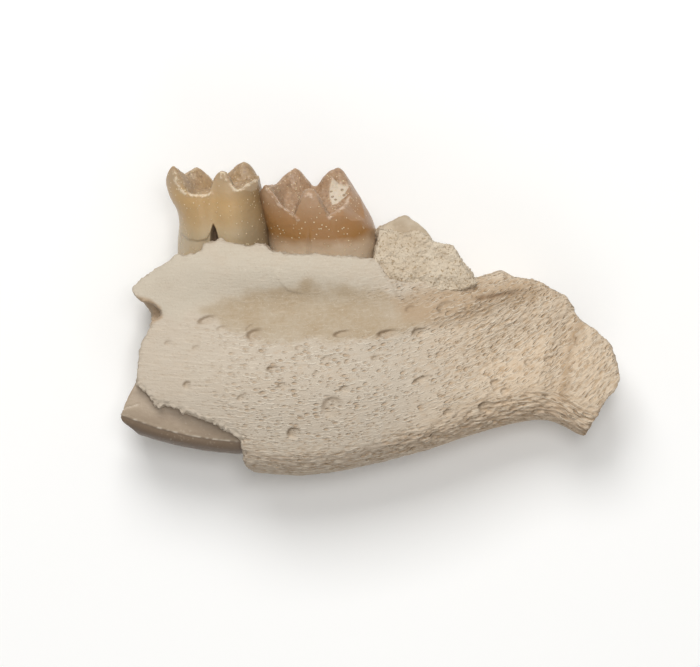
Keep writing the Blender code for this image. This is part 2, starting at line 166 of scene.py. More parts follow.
def points_of(piece):
    """Every point of a mesh, one row each."""
    flat = np.empty(len(piece.data.vertices) * 3)
    piece.data.vertices.foreach_get("co", flat)
    return flat.reshape(-1, 3)


def move_points(piece, points):
    """Gives every point of a mesh its new place."""
    piece.data.vertices.foreach_set("co", np.ascontiguousarray(points).ravel())
    piece.data.update()


def outward(piece):
    """The direction that each point faces."""
    flat = np.empty(len(piece.data.vertices) * 3)
    piece.data.vertex_normals.foreach_get("vector", flat)
    return flat.reshape(-1, 3)


def keep_numbers(piece, name, values):
    """Keeps a number for each point, which the piece's finish can read."""
    layer = piece.data.attributes.new(name, "FLOAT", "POINT")
    layer.data.foreach_set("value", np.asarray(values, dtype=float))


def report(piece):
    """Prints how fine a piece is."""
    piece.data.calc_loop_triangles()
    print(piece.name, len(piece.data.loop_triangles), "triangles")


# %% [markdown]
# ## Roughness as numbers
# Nothing on a fossil is plain, so most shapes below get bumps. `lumps` gives a smooth random
# number for every point, and `specks` gives the way to the nearest of many scattered dots,
# which makes good pits. Points can be stretched first, to make bumps longer one way.

# %% Roughness as numbers
def lumps(points, size, seed=0.0):
    """A smooth random number from -1 to 1 at each point, with bumps of about this size."""
    return np.array([noise.noise(p) for p in (points / size + seed).tolist()])


def specks(points, size, seed=0.0):
    """The offset of each point from the nearest of many scattered dots, in units of size."""
    where = (points / size + seed).tolist()
    nearest = [noise.voronoi(p)[1][0] for p in where]
    return np.array(where) - np.array([tuple(p) for p in nearest])


def ramp(values, low, high):
    """0 below low, 1 above high, and a smooth change between; high may be below low."""
    t = np.clip((np.asarray(values, dtype=float) - low) / (high - low), 0, 1)
    return t * t * (3 - 2 * t)


def through(*stations):
    """A smooth function of x that passes through the (x, value) stations."""
    xs, values = np.array(stations, dtype=float).T
    slopes = np.gradient(values, xs)
    slopes[1:-1] = (values[2:] - values[:-2]) / (xs[2:] - xs[:-2])

    def value(x):
        x = np.clip(x, xs[0], xs[-1])
        i = np.clip(np.searchsorted(xs, x) - 1, 0, len(xs) - 2)
        span = xs[i + 1] - xs[i]
        t = (x - xs[i]) / span
        start = (1 + 2 * t) * (1 - t) ** 2 * values[i] + t * (1 - t) ** 2 * span * slopes[i]
        end = t * t * (3 - 2 * t) * values[i + 1] + t * t * (t - 1) * span * slopes[i + 1]
        return start + end

    return value


def swell(x, y, place, spread, height, turn=0.0):
    """Height of a rounded swelling at (x, y), longest along its turn."""
    dx, dy = x - place[0], y - place[1]
    along = (dx * math.cos(turn) + dy * math.sin(turn)) / spread[0]
    across = (dy * math.cos(turn) - dx * math.sin(turn)) / spread[1]
    return height * np.exp(-along * along - across * across)


def way_from(line, x, y):
    """Distance in mm of each spot from a line given in dots."""
    nearest = np.full(len(x), 99.0)
    corners = [plan(*corner) for corner in line]
    for (x0, y0), (x1, y1) in zip(corners, corners[1:]):
        run, rise = x1 - x0, y1 - y0
        share = np.clip(((x - x0) * run + (y - y0) * rise) / (run * run + rise * rise), 0, 1)
        nearest = np.minimum(nearest, np.hypot(x - x0 - run * share, y - y0 - rise * share))
    return nearest


def way_to(outline, x, y):
    """Distance in mm of each spot from the edge of an outline in dots, negative inside it."""
    corners = [plan(*corner) for corner in outline]
    crossings = np.zeros(len(x), dtype=int)
    for (x0, y0), (x1, y1) in zip(corners, corners[1:] + corners[:1]):
        beside = (y0 > y) != (y1 > y)
        crossings += beside & (x < x0 + (x1 - x0) * (y - y0) / ((y1 - y0) or 1))
    edge = way_from((*outline, outline[0]), x, y)
    return np.where(crossings % 2 == 1, -edge, edge)


print("a ramp half way:", float(ramp(0.5, 0, 1)))

# %% [markdown]
# ## The bone's whole form
# Before it broke, this part of the jaw was a rounded bar: thick over the roots of the teeth
# and thin towards the angle at the back. It can be made as a cylinder whose every ring is
# moved to the jaw's outline at that place. We use the same sizes as the solid, so the fine
# bone lies exactly on it.

# %% Sizes of the whole form
# The whole form runs this far from the middle both ways, in mm.
HALF_REACH = 11
upper_edge = through(
    (-11.0, 0.3), (-9.7, 1.3), (-8.6, 2.1), (-7.9, 2.9), (-6.2, 3.5), (-4.0, 3.4), (-0.4, 2.9),
    (2.2, 2.3), (4.1, 1.85), (5.3, 1.95), (6.9, 1.65), (8.4, 0.7), (11.0, -0.8),
)
lower_edge = through(
    (-11.0, -4.0), (-8.0, -5.2), (-5.0, -6.15), (-3.1, -6.34), (-1.8, -6.25), (-0.5, -6.02), (2.0, -5.39),
    (4.5, -4.58), (6.3, -4.16), (7.3, -4.18), (8.6, -4.8), (11.0, -5.6),
)
tongue_side = through(
    (-11.0, 4.3), (-9, 4.75), (-6, 5.15), (-2, 5.35), (2, 5.1), (5, 4.6), (8, 3.9), (11.0, 3.4)
)
cheek_side = through(
    (-11.0, 1.2), (-9, 0.9), (-6, 0.6), (-2, 0.62), (2, 0.9), (5, 1.25), (8, 1.7), (11.0, 1.95)
)


def tongue_height(x, y):
    """Height of the tongue side, which faces the camera."""
    return (
        tongue_side(x)
        + swell(x, y, (-4.5, 2.0), (4.6, 1.1), 0.28)
        + swell(x, y, (-2.2, 0.55), (3.6, 0.85), -0.35, -0.03)
        + swell(x, y, (-3.5, -2.6), (5.5, 1.9), 0.45)
        + swell(x, y, (3.4, 0.35), (3.4, 0.42), 0.28, 0.33)
        + swell(x, y, (5.4, -1.4), (2.4, 1.25), -0.60, 0.35)
        + swell(x, y, (7.75, -1.5), (2.0, 0.42), -0.42, 1.33)
        + swell(x, y, (9.3, -2.2), (1.0, 1.4), 0.15)
    )


def cheek_height(x, y):
    """Height of the cheek side, which lies on the floor."""
    return (
        cheek_side(x)
        + swell(x, y, (-5.6, -2.6), (4.4, 1.4), -0.74)
        + swell(x, y, (-2.2, 1.5), (2.8, 1.0), -0.80)
        + swell(x, y, (4.9, -0.9), (3.3, 1.3), 1.05, -0.12)
        + swell(x, y, (4.6, -3.3), (3.6, 0.85), -1.75, 0.05)
        + swell(x, y, (4.9, 1.0), (2.6, 0.7), -1.62, -0.1)
    )


def bone_sides(x, y):
    """Heights of the tongue side and the cheek side of the whole bone at (x, y)."""
    share = np.clip((y - lower_edge(x)) / (upper_edge(x) - lower_edge(x)), 0, 1)
    power = np.where(share > 0.5, 6.0, 3.0)
    fullness = np.maximum(0, 1 - np.abs(2 * share - 1) ** power) ** (1 / power)
    up, down = tongue_height(x, y), cheek_height(x, y)
    middle_height, half = (up + down) / 2, (up - down) / 2
    return middle_height + fullness * half, np.maximum(0, middle_height - fullness * half)


print("depth of the jaw under the second tooth:", round(float(upper_edge(-2) - lower_edge(-2)), 2), "mm")


# %% The whole form as a cylinder
def level_cuts(piece, levels):
    """Adds a ring of edges round the piece at each height."""
    only(piece)
    bpy.ops.object.mode_set(mode="EDIT")
    for level in levels:
        bpy.ops.mesh.select_all(action="SELECT")
        bpy.ops.mesh.bisect(plane_co=(0, 0, level), plane_no=(0, 0, 1), threshold=1e-5)
    bpy.ops.object.mode_set(mode="OBJECT")


def ringed_cylinder(name, rings, sides):
    """An upright cylinder in rings. Gives it, how far up each point is, and its way round."""
    bpy.ops.mesh.primitive_cylinder_add(vertices=sides, radius=1, depth=1)
    cylinder = only(bpy.context.object)
    cylinder.name = name
    level_cuts(cylinder, [ring / rings - 0.5 for ring in range(1, rings)])
    raw = points_of(cylinder)
    return cylinder, raw[:, 2] + 0.5, np.arctan2(raw[:, 1], raw[:, 0])


bone, share, angle = ringed_cylinder("bone", 130, 96)
bone_x = -HALF_REACH + 2 * HALF_REACH * share
bone_y = lower_edge(bone_x) + (upper_edge(bone_x) - lower_edge(bone_x)) * (1 - np.cos(angle)) / 2
highest, lowest = bone_sides(bone_x, bone_y)
bone_z = (highest + lowest) / 2
bone_z = np.where(np.sin(angle) > 1e-4, highest, bone_z)
bone_z = np.where(np.sin(angle) < -1e-4, lowest, bone_z)
move_points(bone, np.column_stack([bone_x, bone_y, bone_z]))
face_outwards(bone)
report(bone)

# %% [markdown]
# ## Breaking the bone
# The real jaw is broken at the front, at the back, along the tooth rims and over the front
# tooth. A slab with the broken outline, as seen from above, cuts the whole form down to what
# is left. Broken bone isn't cut straight down, so the slab's sides first wander in and out,
# and they lean inwards a little on the far side.

# %% Outline of what is left
TOOTH_RIM = (
    (360.7, 257.9), (355, 256), (340.7, 255.7), (326.4, 255), (315, 253), (305, 254.3), (290.7, 254),
    (279.3, 252), (272, 250.6), (269.3, 248.6), (265.8, 244.2), (261, 243.2), (255.7, 243),
    (252.5, 246.4), (246.4, 245.4), (241, 244.8), (235, 243), (230.6, 243), (225.7, 241.4),
    (223.4, 239.8), (221.4, 237.1), (219.3, 236.4), (217.8, 239.6), (216.4, 241.4), (214.4, 242.6),
    (212, 241.4), (209.6, 243.8), (207, 241.8), (205, 243.6), (203.6, 248), (202, 249.3), (198, 252),
    (194, 254.6), (190.7, 254.8), (185, 255.9), (182, 254.4), (180, 253), (176.8, 254.2), (173.4, 256.6),
)
FRONT_BREAK = (
    (170, 260.6), (166, 262.8), (155, 268), (148, 272), (140, 280), (134, 284.4), (129.6, 287.4),
    (134, 294), (138.4, 298.4), (142.8, 301.4), (149, 308), (150.6, 316), (150, 322), (152, 326),
    (147.2, 333), (142, 341), (139.4, 349), (138.6, 361), (136.4, 373), (136.6, 382), (137.4, 388),
    (143, 401), (157, 417), (175, 429), (190, 436), (208, 441), (226, 446), (240, 448),
)
BACK_BREAK = (
    (588.6, 438.4), (594, 426.8), (600, 416), (603, 410.6), (610, 399), (618.6, 389.6), (622, 378.6),
    (621.6, 369.5), (617, 353.6), (613.4, 343), (606, 336), (599, 328.6), (590, 323), (583, 318.6),
    (577.6, 311), (572.6, 300.2), (565.6, 293), (556, 288.6), (549.4, 285.6), (542.4, 279.6),
    (529, 278.4), (516, 276.6), (506.6, 270.6), (499.4, 270.4), (490, 273), (481.6, 276.4), (474, 274.6),
    (433, 264), (400, 259), (376, 258),
)
LOWER_CORNER = ((240.4, 452), (242.4, 462), (246, 468.6), (251, 472), (252.4, 495), (592, 495))


def jagged(line, step, amount, seed):
    """The same line with points every step, each pushed aside a little, as bone snaps."""
    out = []
    for (x0, y0), (x1, y1) in zip(line, line[1:]):
        count = max(1, round(math.hypot(x1 - x0, y1 - y0) / step))
        for i in range(count):
            x, y = x0 + (x1 - x0) * i / count, y0 + (y1 - y0) * i / count
            push = noise.noise((x / 3.1, y / 3.1, seed)) * amount
            out.append((x + push, y + noise.noise((x / 2.7, y / 2.7, seed + 9)) * amount))
    return [*out, line[-1]]

broken_outline = jagged((*TOOTH_RIM, *FRONT_BREAK), 3.0, 0.8, 1.0) + list(LOWER_CORNER)
broken_outline += jagged(BACK_BREAK, 3.5, 0.9, 4.0)
print("the broken outline has", len(broken_outline), "corners")


# %% A slab that breaks the bone
# Heights in mm: well under and well over the bone, and where its broken sides start to lean.
CLEAR_BELOW, CLEAR_ABOVE = -1, 9
SIDE_TOP = 4.9


def slab(name, outline, low, high):
    """A closed slab whose outline, in dots of the photo, runs from height low to high in mm."""
    curve = bpy.data.curves.new(name, "CURVE")
    curve.dimensions = "2D"
    curve.fill_mode = "BOTH"
    curve.extrude = (high - low) / 2
    spline = curve.splines.new("POLY")
    spline.points.add(len(outline) - 1)
    for point, (across, down) in zip(spline.points, outline):
        point.co = (*plan(across, down), 0, 1)
    spline.use_cyclic_u = True
    piece = bpy.data.objects.new(name, curve)
    bpy.context.collection.objects.link(piece)
    only(piece)
    bpy.ops.object.convert(target="MESH")
    bpy.ops.object.mode_set(mode="EDIT")
    bpy.ops.mesh.select_all(action="SELECT")
    bpy.ops.mesh.remove_doubles(threshold=1e-4)
    bpy.ops.mesh.dissolve_limited(angle_limit=math.radians(0.5))
    bpy.ops.mesh.normals_make_consistent(inside=False)
    bpy.ops.object.mode_set(mode="OBJECT")
    move_points(piece, points_of(piece) + (0, 0, (high + low) / 2))
    return piece


left_over = slab("left_over", broken_outline, CLEAR_BELOW, CLEAR_ABOVE)
level_cuts(left_over, (0.6, 1.3, 2.0, 2.7, 3.4, 4.1, 4.7))
sides = points_of(left_over)
depth = np.clip((SIDE_TOP - sides[:, 2]) / SIDE_TOP, 0, 1)
level = 0 * depth
middle_y = (upper_edge(sides[:, 0]) + lower_edge(sides[:, 0])) / 2
inwards = np.column_stack([-np.tanh(sides[:, 0] / 5), -np.tanh((sides[:, 1] - middle_y) / 1.5), level])
wander = np.column_stack([lumps(sides, 0.7, 3), lumps(sides, 0.7, 6), level])
ragged = np.column_stack([lumps(sides, 0.3, 13), lumps(sides, 0.3, 16), level])
move_points(left_over, sides + (0.2 * inwards + 0.12 * wander + 0.05 * ragged) * depth[:, None])
cut(bone, left_over, "INTERSECT")
report(bone)

# %% [markdown]
# ## Openings in the bone
# The tongue side has come off over the front tooth, a nerve opening is broken open at the
# front, and sandstone fills the last tooth's socket. These are cut as slabs too. The front
# tooth's channel is cut with a bent rod, which is also how the tooth itself is made, so the
# two fit.

# %% Outlines of the openings
WINDOW = (
    (112, 376), (134, 378), (137, 385), (143, 390), (148, 395), (152, 399), (153, 404), (156, 408),
    (160, 407), (165, 404), (172, 408), (179, 412), (187, 412), (195, 416), (203, 420), (211, 423),
    (217, 424), (225, 429), (233, 433), (240, 437), (243.4, 441), (241.4, 445), (243, 451), (243, 457),
    (243.6, 463), (247, 469), (250, 474), (252, 490), (112, 490),
)
NERVE_NOTCH = (
    (137, 300), (143, 302), (150, 303.4), (157, 306), (162.4, 312), (162, 318.4), (155, 319.6),
    (150, 322),
)
PIT = (
    (374, 230), (373.8, 258), (375.4, 259), (379, 265), (384, 272), (391, 279.6), (400, 281.6),
    (411, 281.4), (424, 279.2), (434, 277), (446, 280.6), (460, 277.6), (468, 279), (476, 277.2),
    (480, 262), (470, 220),
)
print("three openings are cut by slabs")

# %% Cut the openings
# The front tooth's outer side lies on a circle of this radius, in mm, and is lowest here.
INCISOR_ARC = 14.5
INCISOR_LOWEST = (-4.6, -5.53)


def bent_rod(name, depth, width, middle_z, start, end, rings, sides):
    """A rod along the front tooth's arc, with its outer side on the arc."""
    rod, share, turn = ringed_cylinder(name, rings, sides)
    on_axis = np.hypot(points_of(rod)[:, 0], points_of(rod)[:, 1]) <= 0.5
    down, sideways = -np.cos(turn), np.sin(turn)
    squareness = np.where(down > 0, 3.2, 2.3)
    size = (np.abs(down) ** squareness + np.abs(sideways) ** squareness) ** (-1 / squareness)
    size = np.where(on_axis, 0, size)
    x = start + (end - start) * share
    bend = np.arcsin((x - INCISOR_LOWEST[0]) / INCISOR_ARC)
    radius = INCISOR_ARC - depth * (1 - (1 + down * size) / 2)
    moved = np.column_stack([
        INCISOR_LOWEST[0] + radius * np.sin(bend),
        INCISOR_LOWEST[1] + INCISOR_ARC - radius * np.cos(bend),
        middle_z + width / 2 * sideways * size,
    ])
    move_points(rod, moved)
    face_outwards(rod)
    return rod


cut(bone, slab("window", jagged(WINDOW, 1.8, 2.4, 7.0), 1.75, CLEAR_ABOVE))
cut(bone, slab("nerve_notch", NERVE_NOTCH, 4.15, CLEAR_ABOVE))
cut(bone, slab("pit", jagged(PIT, 3.0, 0.8, 2.0), 1.5, CLEAR_ABOVE))
channel = bent_rod(
    "channel", depth=3.22, width=2.62, middle_z=3.02, start=-11.6, end=-3.6, rings=20, sides=32
)
cut(bone, channel)
report(bone)

# %% [markdown]
# ## An even skin on the bone
# The cuts leave long thin faces, which can't carry fine relief. A voxel remesh gives the bone
# even faces of about a tenth of a millimetre. The tongue side is what people look at, so its
# faces alone are divided once more.

# %% An even skin on the bone
applied(bone, "REMESH", mode="VOXEL", voxel_size=0.112)
applied(bone, "SMOOTH", factor=0.5, iterations=1)


def select_faces(piece, rule):
    """Selects the faces whose centre and normal pass the rule, and opens edit mode on them."""
    only(piece)
    bpy.ops.object.mode_set(mode="EDIT")
    bpy.ops.mesh.select_mode(type="FACE")
    bpy.ops.mesh.select_all(action="DESELECT")
    bpy.ops.object.mode_set(mode="OBJECT")
    for face in piece.data.polygons:
        face.select = rule(face.center, face.normal)
    bpy.ops.object.mode_set(mode="EDIT")


select_faces(bone, lambda centre, normal: normal.z > 0.3 and centre.z > 2.4)
bpy.ops.mesh.subdivide(number_cuts=1)
bpy.ops.object.mode_set(mode="OBJECT")
applied(bone, "SMOOTH", factor=0.5, iterations=2)
report(bone)

# %% [markdown]
# ## Directions of the bone's fibres
# Fresh bone surface is full of fine pores that run along its fibres. Here they run level at
# the front and sweep upwards towards the back, and along the belly they follow the border. We
# number each point along and across its fibre, so that pores and streaks can be drawn out
# along it, both in the shape and later in the finish. On the steep sides the numbers run on
# down the wall, because numbers taken from above alone would smear there into long stripes.

# %% Directions of the bone's fibres
fibre_slope = through(
    (-11, -0.1), (-6.8, -0.08), (-1.6, 0.08), (1.2, 0.27), (4, 0.46), (6, 0.62), (8.4, 0.85), (11, 0.95)
)
STATION_STEP = 0.1
stations = np.linspace(-HALF_REACH, HALF_REACH, 221)
fibre_rise = np.concatenate([[0], np.cumsum(fibre_slope(stations[:-1]) * STATION_STEP)])

spots = points_of(bone)
facing = outward(bone)
x, y, z = spots.T
sweep = np.interp(x, stations, fibre_rise)
below_top = np.minimum(z - tongue_height(x, y), 0)
round_side = below_top * np.clip(((upper_edge(x) + lower_edge(x)) / 2 - y) / 2, -1, 1)
along = x + 0.5 * sweep - below_top * np.clip(x / 6, -1, 1)
across = y - sweep + round_side
from_border = y - lower_edge(x)
swept = np.column_stack([along, across, 0.2 * z])
bordered = np.column_stack([x, from_border + round_side, 0.2 * z])
near_border = ramp(from_border + 0.25 * lumps(spots, 0.8, 30), 1.5, 0.5) * ramp(x, -6.5, -4.0)
near_border = np.maximum(near_border, ramp(from_border, 1.6, 0.9) * ramp(x, 1.5, 4.5))
for name, values in (
    ("along", along),
    ("across", across),
    ("from_border", from_border + round_side),
    ("place_x", x),
    ("near_border", near_border),
):
    keep_numbers(bone, name, values)
turned = math.degrees(math.atan(float(fibre_slope(8.0))))
print("fibres turn by", round(turned), "degrees at the back")

# %% [markdown]
# ## Larger openings
# The larger holes let in blood vessels. Each is an oval hollow, steep in front, that fades out
# backwards. The light comes from the top of the picture, so painted shade lies as a dark line
# along the front and upper rim of each, and its strength is kept as a number too. Two thin
# plates of bone end in a sharp step, like a chipped scale.

# %% Larger openings
# Each opening: dots across and down, half its length and half its width in dots, its turn in
# degrees, and its depth in mm.
VESSELS = (
    (209, 320, 9, 3.4, 12, 0.09), (223, 328.5, 5, 2.4, 8, 0.05), (256, 334.6, 7.5, 4.8, 10, 0.13),
    (251, 327, 5, 1.8, 35, 0.05), (343, 333.6, 8, 2.8, 8, 0.11), (389, 333.4, 10, 3.4, 5, 0.14),
    (420, 332.2, 7, 3.2, 5, 0.11), (169, 343, 3.6, 2.2, 5, 0.05), (197, 348, 3.4, 2.2, 5, 0.05),
    (274, 369, 6, 2.8, 0, 0.09), (328, 358, 5, 2.2, 5, 0.06), (377, 358, 5, 1.9, 5, 0.07),
    (188, 385, 3.6, 3.2, 0, 0.10), (283, 385.4, 4.4, 2.8, 0, 0.08), (345, 389, 4.6, 2.8, 0, 0.08),
    (423, 379, 8, 2.6, 14, 0.10), (243, 397, 4.6, 2.6, 20, 0.06), (294, 433, 5.4, 4.8, 0, 0.13),
    (448, 413, 4, 3.0, 15, 0.10), (487, 407, 7, 4.6, 3, 0.14), (495.6, 383, 4, 3.4, 0, 0.09),
    (505, 391, 3.6, 2.6, 0, 0.07), (529, 362, 3.4, 2.4, 0, 0.07), (550, 359, 4.4, 2.4, 12, 0.09),
    (496, 360, 3.4, 2.2, 15, 0.05), (545, 374, 3.4, 2.2, -20, 0.06), (436, 435, 5, 2.4, 15, 0.10),
    (300, 348, 4, 2.2, 5, 0.04), (319, 372, 4, 2, 5, 0.05), (262, 352, 4, 1.9, -8, 0.04),
    (411, 309, 5, 2.6, 10, 0.06), (447, 308, 9, 6, 12, 0.06), (333, 407, 9, 9, -14, 0.06),
)
# The edge of each plate: dots across and down, and how high the plate stands there, in mm.
STEPS = (
    ((273, 272, 0.0), (278, 279, 0.03), (287, 290, 0.045), (300, 294, 0.025), (312, 292, 0.0)),
    ((376, 262, 0.05), (381, 269, 0.08), (391, 279, 0.08), (394, 291, 0.07), (402, 300, 0.06),
    (411, 306, 0.0)),
)


def openings(x, y):
    """Depth of the larger openings, and the painted shade on each opening's front and upper rim."""
    depth, dark_rim = np.zeros(len(x)), np.zeros(len(x))
    for right, down, half_length, half_width, turn, deep in VESSELS:
        cx, cy = plan(right, down)
        c, s = math.cos(math.radians(turn)), math.sin(math.radians(turn))
        u = ((x - cx) * c + (y - cy) * s) / (1.2 * half_length / DOTS_PER_MM)
        v = ((y - cy) * c - (x - cx) * s) / (1.15 * half_width / DOTS_PER_MM)
        rim = np.hypot(np.minimum(u, 0) + np.maximum(u, 0) * 0.8, v)
        bowl = ramp(rim, 1.15, 0.75) * ramp(u, 1.25, -0.6)
        depth = np.maximum(depth, deep * bowl)
        # Painted shade: darkest on the front and upper side of the rim, which the light from above doesn't
        # reach.
        shaded = np.clip(0.35 + (0.9 * v - 0.8 * u) / np.maximum(rim, 0.3), 0, 1)
        on_rim = ramp(np.abs(rim - 0.88), 0.34, 0.08)
        dark_rim = np.maximum(dark_rim, on_rim * shaded * ramp(deep, 0.0, 0.09))
    return depth, dark_rim


def plates(x, y):
    """Height of the thin plates of bone, on the upper left of each step line."""
    raised = np.zeros(len(x))
    for line in STEPS:
        nearest, signed, tall = np.full(len(x), 9.0), np.zeros(len(x)), np.zeros(len(x))
        for (a0, d0, h0), (a1, d1, h1) in zip(line, line[1:]):
            (px, py), (qx, qy) = plan(a0, d0), plan(a1, d1)
            run, rise = qx - px, qy - py
            share = np.clip(((x - px) * run + (y - py) * rise) / (run * run + rise * rise), 0, 1)
            ox, oy = x - px - run * share, y - py - rise * share
            closer = np.hypot(ox, oy) < nearest
            nearest = np.where(closer, np.hypot(ox, oy), nearest)
            signed = np.where(closer, np.sign(run * oy - rise * ox) * nearest, signed)
            tall = np.where(closer, h0 + (h1 - h0) * share, tall)
        raised += tall * ramp(signed, -0.03, 0.03) * ramp(nearest, 0.9, 0.0)
    return raised


vessel, dark_rim = openings(x, y)
keep_numbers(bone, "opening", np.clip(vessel / 0.12, 0, 1))
keep_numbers(bone, "dark_rim", dark_rim)
print("deepest opening", round(float(vessel.max()), 3), "mm")

# %% [markdown]
# ## Zones of the bone
# A fossil bone isn't the same all over: it is smooth under the teeth and in a brown hollow,
# banded with tan behind it, rough at its broken ends and chipped along its edges, and a crease
# at the back gets painted shade. Each zone is an outline or a line in dots of the photo, and
# noise makes its edge wander, because a stain or a chip never ends on a clean line.

# %% Zones of the bone
SMOOTH_RIM = (
    (128, 288), (150, 262), (200, 240), (345, 245), (376, 262), (396, 288), (345, 294), (262, 296),
    (222, 308), (180, 322), (152, 312),
)
UPPER_BAND = (
    (395, 301), (440, 284), (520, 279), (548, 290), (524, 304), (472, 317), (432, 327), (405, 318),
)
CREASE = ((584, 318), (574, 338), (567, 362), (563, 400))
CORNER_FACET = (
    (608, 402), (602, 416), (595, 429), (588.6, 440), (584, 436), (591, 427), (598, 413), (603, 404),
)
NERVE_GROOVE = ((137, 296), (150, 299), (161, 307), (163, 318), (152, 324), (144, 312))
BROWN_HOLLOW = (
    (203, 311), (222, 301), (240, 294), (262, 289), (300, 285), (345, 285), (375, 291), (400, 300),
    (428, 306), (436, 320), (420, 333), (395, 338), (345, 338), (312, 344), (285, 348), (262, 341),
    (240, 332), (222, 325),
)
top_side, floor_side = bone_sides(x, y)
on_tongue = ramp(np.abs(z - top_side), 0.30, 0.12) * ramp(facing[:, 2], 0.15, 0.5)
on_cheek = ramp(np.abs(z - floor_side), 0.30, 0.12) * ramp(facing[:, 2], -0.05, -0.4)
on_belly = ramp(from_border, 1.5, 0.7) * (x > -5.1)
natural = np.maximum(np.maximum(on_tongue, on_cheek), on_belly)
broken = 1 - natural
chipped = 0.4 * ramp(np.abs(way_to(broken_outline, x, y)), 0.22, 0.02)
chipped = np.maximum(chipped, ramp(np.abs(way_to(WINDOW, x, y)), 0.28, 0.05))
chipped = chipped * ramp(z, 1.5, 2.5) * (y < 2.9)

edge_wobble = 0.3 * lumps(swept, 0.9, 50) + 0.12 * lumps(swept, 0.3, 51)
hollow_zone = ramp(way_to(BROWN_HOLLOW, x, y) + edge_wobble, 0.5, -0.6)
rim_zone = ramp(way_to(SMOOTH_RIM, x, y) + edge_wobble, 0.3, -0.3)
calm = (1 - 0.85 * hollow_zone) * (1 - 0.85 * rim_zone)
back_zone = ramp(x, 1.0, 4.0) * (1 - near_border)
rough_end = ramp(x + 0.3 * lumps(spots, 0.8, 60), 7.4, 8.3)
upper_band = ramp(way_to(UPPER_BAND, x, y) + edge_wobble, 0.35, -0.3)
# The crease at the back is painted shade, laid on together with the tan band.
crease = ramp(way_from(CREASE, x, y) + 0.5 * edge_wobble, 0.34, 0.0)
in_facet = np.minimum(way_to(NERVE_GROOVE, x, y), way_to(CORNER_FACET, x, y))
facets = 1.2 * ramp(in_facet, 0.08, -0.08)
tan_band = np.maximum(np.maximum(upper_band, crease), facets) * ramp(facing[:, 2], -0.2, 0.3)
muscle_line_y = plan(0, 299)[1] + (x - plan(475, 0)[0]) * 0.16
muscle_line = ramp(np.abs(y - muscle_line_y) + 0.08 * lumps(spots, 0.2, 52), 0.18, 0.0)
muscle_line = muscle_line * ramp(x, 3.8, 4.6) * ramp(x, 6.4, 5.2)
print("broken surface:", round(100 * float(broken.mean())), "% of the points")

# %% [markdown]
# ## Relief of the bone
# Now every point of the bone moves a little in or out. The tongue side gets broad
# unevenness, pores and openings, and the border under it coarse furrows. Broken faces are
# lumpy and spongy. The flats that the jaw lies on stay level. Relief this large has to be in
# the shape, because light from the side shows it.

# %% Relief of the bone
pore = specks(swept / (2.6, 1, 1), 0.20)
pore_depth = ramp(np.hypot(pore[:, 0] + 0.08, pore[:, 1] * 1.25), 0.36, 0.08) * ramp(pore[:, 0], -0.4, -0.2)
pore_depth *= ramp(lumps(spots, 0.9, 12), -0.35, 0.35) * (0.3 + 0.7 * ramp(x, -7.0, -2.5))
streaks = lumps(swept / (4.5, 1, 1), 0.11, 3)
furrows = lumps(bordered / (2.6, 1, 1), 0.15, 6)
furrow_pits = ramp(lumps(bordered / (2.2, 1, 1), 0.11, 14), 0.05, 0.5)
end_pits = ramp(lumps(swept / (2, 1, 1), 0.2, 35), 0.1, 0.5)
chip_pits = ramp(lumps(spots, 0.12, 74), 0.1, 0.4)
sponge = ramp(np.linalg.norm(specks(spots, 0.34, 40), axis=1), 0.42, 0.15) * broken

relief = 0.018 * lumps(spots, 0.8, 8) + 0.007 * lumps(spots, 0.3, 2)
relief -= 0.017 * pore_depth * calm * (1 + 2.0 * back_zone)
relief += 0.022 * streaks * (0.08 + back_zone) * calm
relief += near_border * (0.6 + 0.6 * ramp(x, -1.0, 2.0)) * 0.06 * (furrows - furrow_pits)
relief += rough_end * (0.035 * lumps(spots, 0.28, 33) - 0.03 * end_pits)
relief += plates(x, y) - 1.1 * vessel - 0.06 * muscle_line

moves = relief * on_tongue
moves += on_cheek * (0.04 * lumps(spots, 0.7, 21) - 0.02 * pore_depth) * ramp(z, 0.02, 0.3)
moves += broken * (0.05 * lumps(spots, 0.32, 17) + 0.045 * lumps(spots, 0.16, 23)) - 0.06 * sponge
moves += np.clip(natural - on_tongue - on_cheek, 0, 1) * (0.035 * furrows - 0.03 * furrow_pits)
moves += chipped * (0.10 * lumps(spots, 0.16, 70) + 0.07 * lumps(spots, 0.4, 71) - 0.05 * chip_pits)
move_points(bone, spots + facing * (moves * ramp(z, 0.0, 0.12))[:, None])
for name, values in (
    ("pore", np.clip(pore_depth * calm * on_tongue + near_border * furrow_pits * 0.8, 0, 1)),
    ("calm", calm),
    ("broken", broken),
    ("sponge", sponge),
    ("brown_hollow", hollow_zone),
    ("muscle_line", muscle_line),
    ("tan_band", tan_band),
):
    keep_numbers(bone, name, values)
report(bone)

# %% [markdown]
# ## Cheek teeth
# Each tooth is a wall of enamel round a sunken crown, with pointed cusps joined by crests.
# The crown's top can be thought of as a height above every spot of its plan: the crests are
# lines at a height, and the enamel falls away on both sides of them. A grid is laid on that
# height, and its rim is drawn down to make the walls, exactly as the solid was made but with
# far finer steps.

# %% Crests of a cheek tooth
LEAN, YAW = math.radians(20), math.radians(3)
UPRIGHT = Matrix(((1, 0, 0, 0), (0, 0, 1, 0), (0, -1, 0, 0), (0, 0, 0, 1)))
# Crests closer together than about this, in mm, melt into one another.
CREST_BLEND = 0.05
# Lines steeper than the first are the sharp crests over the near wall, and lines gentler than
# the second are only rises in the crown's floor.
SHARP_SLOPE, FLOOR_SLOPE = 3, 1.5
# Outside a sharp crest the enamel falls away by this share only, and runs on into the wall.
OUTER_FALL = 0.35


def stood(shape):
    """The matrix from a tooth's own directions (along, across, up the tooth) to the jaw's."""
    leaning = Matrix.Rotation(-YAW, 4, "Y") @ Matrix.Rotation(LEAN, 4, "X")
    return np.array(Matrix.Translation(shape["corner"]) @ leaning @ UPRIGHT)


